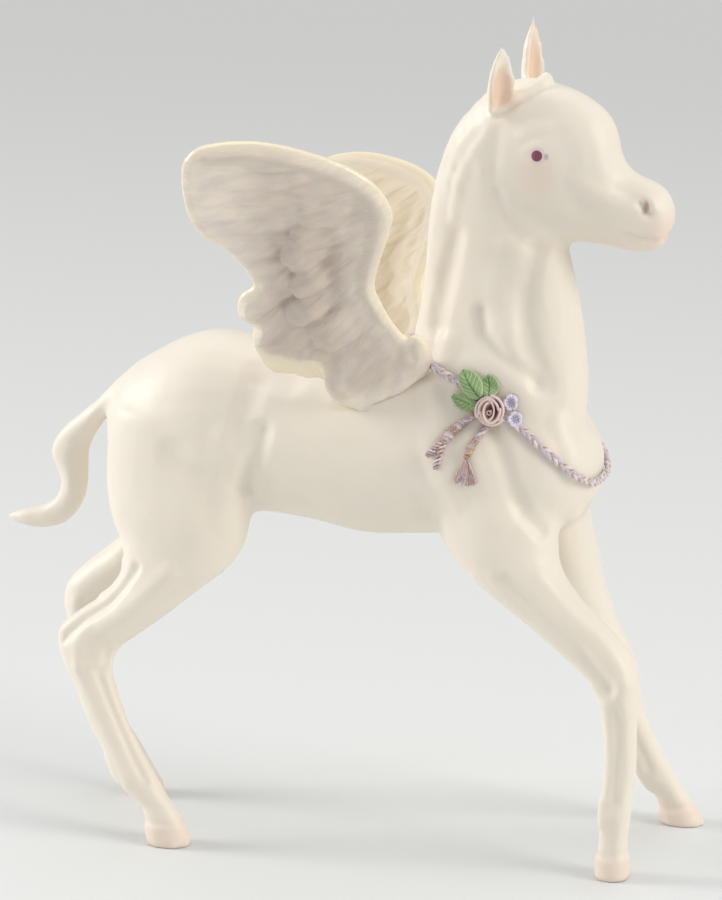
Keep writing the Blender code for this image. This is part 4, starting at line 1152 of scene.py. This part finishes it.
# The first tassel's two strands below its knot, in side view, and their windings.
LOOSE_STRANDS = (
    ((23.8, 137.2), (22.2, 136.0), (20.6, 134.2), (18.6, 132.4)),
    ((23.8, 137.2), (23.2, 135.8), (22.4, 132.2), (21.4, 128.6)),
)
LOOSE_WINDINGS = (
    ((0.5, 0.75, 0.8, 0.6), 0.4, (MAUVE_TONE, WHITE_TONE, LILAC_TONE), 2.4),
    ((0.8, 1.05, 1.0, 0.8), 0.18, (GOLD_TONE,), 6.0),
)

# Tones of the second tassel's fringe, taken in turn.
FRINGE_TONES = (MAUVE_TONE, LILAC_TONE, GOLD_TONE, MAUVE_TONE, WHITE_TONE, LILAC_TONE)


def laid(skin, places, height):
    """A line over the body's right side through places in side view, and the body's normals under it."""
    line = resample([skin.right_side(place, height) for place in places], 0.35)
    normals = np.array([skin.nearest(point)[1] for point in line])
    return line, normals


def twist(shape, line, normals, reach, radius, tones, turns, from_share=0.0, to_share=1.0):
    """Winds one thread of each tone round part of a line, reach away from it."""
    first = round(from_share * (len(line) - 1))
    last = round(to_share * (len(line) - 1)) + 1
    line = resample(line[first:last], 0.18)
    normals = np.broadcast_to(normals[(first + last) // 2 - 1], line.shape)
    tangents = unit(np.gradient(line, axis=0))
    across = unit(np.cross(tangents, normals))
    shares = np.linspace(0, 1, len(line))
    reach = np.interp(shares, np.linspace(0, 1, len(reach)), reach)[:, None]
    for number, tone in enumerate(tones):
        phase = (2 * math.pi * (shares * turns + number / len(tones)))[:, None]
        route = line + reach * (np.sin(phase) * across + np.cos(phase) * normals)
        shape.thread(route, radius, tone, normals, sides=7)


def fray(shape, skin, chance, start, ends, radius):
    """Spreads loose threads from a start over a fringe of ends, each with a little wave of its own."""
    for number, end in enumerate(ends):
        middle = (np.array(start) + np.array(end)) / 2 + chance.normal(0, 0.25, 2)
        first = np.array(start) + (np.array(end) - start) * 0.05 + chance.normal(0, 0.25, 2)
        last = np.array(end) + chance.normal(0, 0.35, 2)
        line, normals = laid(skin, (first, middle, last), 0.7 + 0.5 * chance.random())
        tone = FRINGE_TONES[number % len(FRINGE_TONES)]
        shape.thread(line, radius * np.linspace(1.15, 0.8, len(line)), tone, normals, sides=6)


def tassel(number, skin, finish):
    """A twisted cord with gold windings and a knot, ending in loose strands or in a fringe."""
    shape = Shape()
    line, normals = laid(skin, TASSEL_CORDS[number], 1.15)
    for winding in (*CORD_WINDINGS, *KNOT_WINDINGS[number]):
        twist(shape, line, normals, *winding)
    if number == 0:
        for places in LOOSE_STRANDS:
            strand, beneath = laid(skin, places, 1.0)
            for winding in LOOSE_WINDINGS:
                twist(shape, strand, beneath, *winding)
    else:
        chance = np.random.default_rng(7 + number)
        ends = [(31.0 + 3.6 * s, 124.2 + 0.7 * s * s) for s in np.linspace(-1, 1, 26)]
        fray(shape, skin, chance, (31.2, 132.4), ends, 0.24)
        fray(shape, skin, chance, (31.2, 132.2), ends[2:-2:2], 0.22)
    shape.piece(f"tassel_cord_{number + 1}", finish, "mauve", f"tassel_{number + 1}")


def garland(skin):
    plait = painted("braid_paint", (0.58, 0.51, 0.60), (0.84, 0.79, 0.78), (0.58, 0.35, 0.14))
    cord = painted("tassel_paint", (0.48, 0.34, 0.42), (0.84, 0.75, 0.74), (0.56, 0.34, 0.16))
    braid(skin, plait)
    rose(skin, rose_paint())
    line = braid_line(skin)
    green = leaf_paint()
    for number in range(len(LEAVES)):
        leaf(number, skin, line, green)
    lilac = blossom_paint()
    for number in range(len(BLOSSOMS)):
        blossom(number, skin, lilac)
    for number in range(len(TASSEL_CORDS)):
        tassel(number, skin, cord)


# Stage.


def aimed(name, data, place, back):
    """A new camera or lamp at a place, turned to look against the direction back."""
    made = add(name, data)
    made.location = place
    made.rotation_mode = "QUATERNION"
    made.rotation_quaternion = (-back).to_track_quat("-Z", "Y")
    return made


def camera():
    azimuth = math.radians(AZIMUTH)
    elevation = math.radians(ELEVATION)
    level = math.cos(elevation)
    back = Vector((math.sin(azimuth) * level, -math.cos(azimuth) * level, math.sin(elevation)))
    data = bpy.data.cameras.new("camera")
    data.sensor_width = SENSOR
    data.lens = DISTANCE / MM_PER_POINT * SENSOR / PICTURE_HEIGHT
    place = Vector(packed(LOOK_AT)) + back * DISTANCE * MM
    bpy.context.scene.camera = aimed("camera", data, place, back)


def lamp(name, place, spread, strength, colour):
    """A distant soft lamp that shines from the direction of place, spread over an angle in degrees."""
    data = bpy.data.lights.new(name, "SUN")
    data.angle = math.radians(spread)
    data.energy = strength
    data.color = colour
    aimed(name, data, place, Vector(place))


def studio():
    world = bpy.data.worlds.new("studio")
    world.use_nodes = True
    background = world.node_tree.nodes["Background"]
    background.inputs["Color"].default_value = (0.97, 0.98, 1.0, 1.0)
    background.inputs["Strength"].default_value = 0.45
    bpy.context.scene.world = world
    lamp("right", (1.4, -0.25, 0.75), 30, 1.45, (1.0, 0.96, 0.89))
    lamp("left", (-1.4, -0.15, 0.6), 24, 1.75, (1.0, 0.98, 0.95))
    lamp("glint", (-1.3, -0.9, 0.3), 12, 0.3, (1.0, 1.0, 1.0))
    lamp("top", (0.1, 0.3, 1.5), 60, 0.8, (1.0, 1.0, 1.0))


def floor():
    bpy.ops.mesh.primitive_plane_add(size=12.0)
    made = bpy.context.object
    made.name = "floor"
    finish = Finish("floor", 0.6)
    # Painted shade: the floor darkens away from the camera, standing for light that falls off with distance.
    depth = finish.ranged(finish.parts(finish.place())["Y"], -0.4, 1.6)
    finish.colour(finish.mix(depth, (0.78, 0.795, 0.79), (0.53, 0.54, 0.535)))
    finish.on(made)


def main():
    camera()
    studio()
    floor()
    body = foal()
    tint_foal(body)
    bisque().on(body)
    skin = Skin(body)
    finished(body, "bisque", "foal_body")
    near = pearl("pearl_near", (0.84, 0.76, 0.65), (0.72, 0.64, 0.58), (0.40, 0.31, 0.25), 0.35, 1.0)
    far = pearl("pearl_far", (0.72, 0.63, 0.47), (0.66, 0.57, 0.43), (0.54, 0.43, 0.29), 0.1, 0.15)
    wing("wing_right", "right_wing", skin, -1, RIGHT_WING_POSE, 1.0, near)
    wing("wing_left", "left_wing", skin, 1, LEFT_WING_POSE, 0.4, far)
    garland(skin)
    bpy.context.scene.view_settings.view_transform = "Standard"


main()
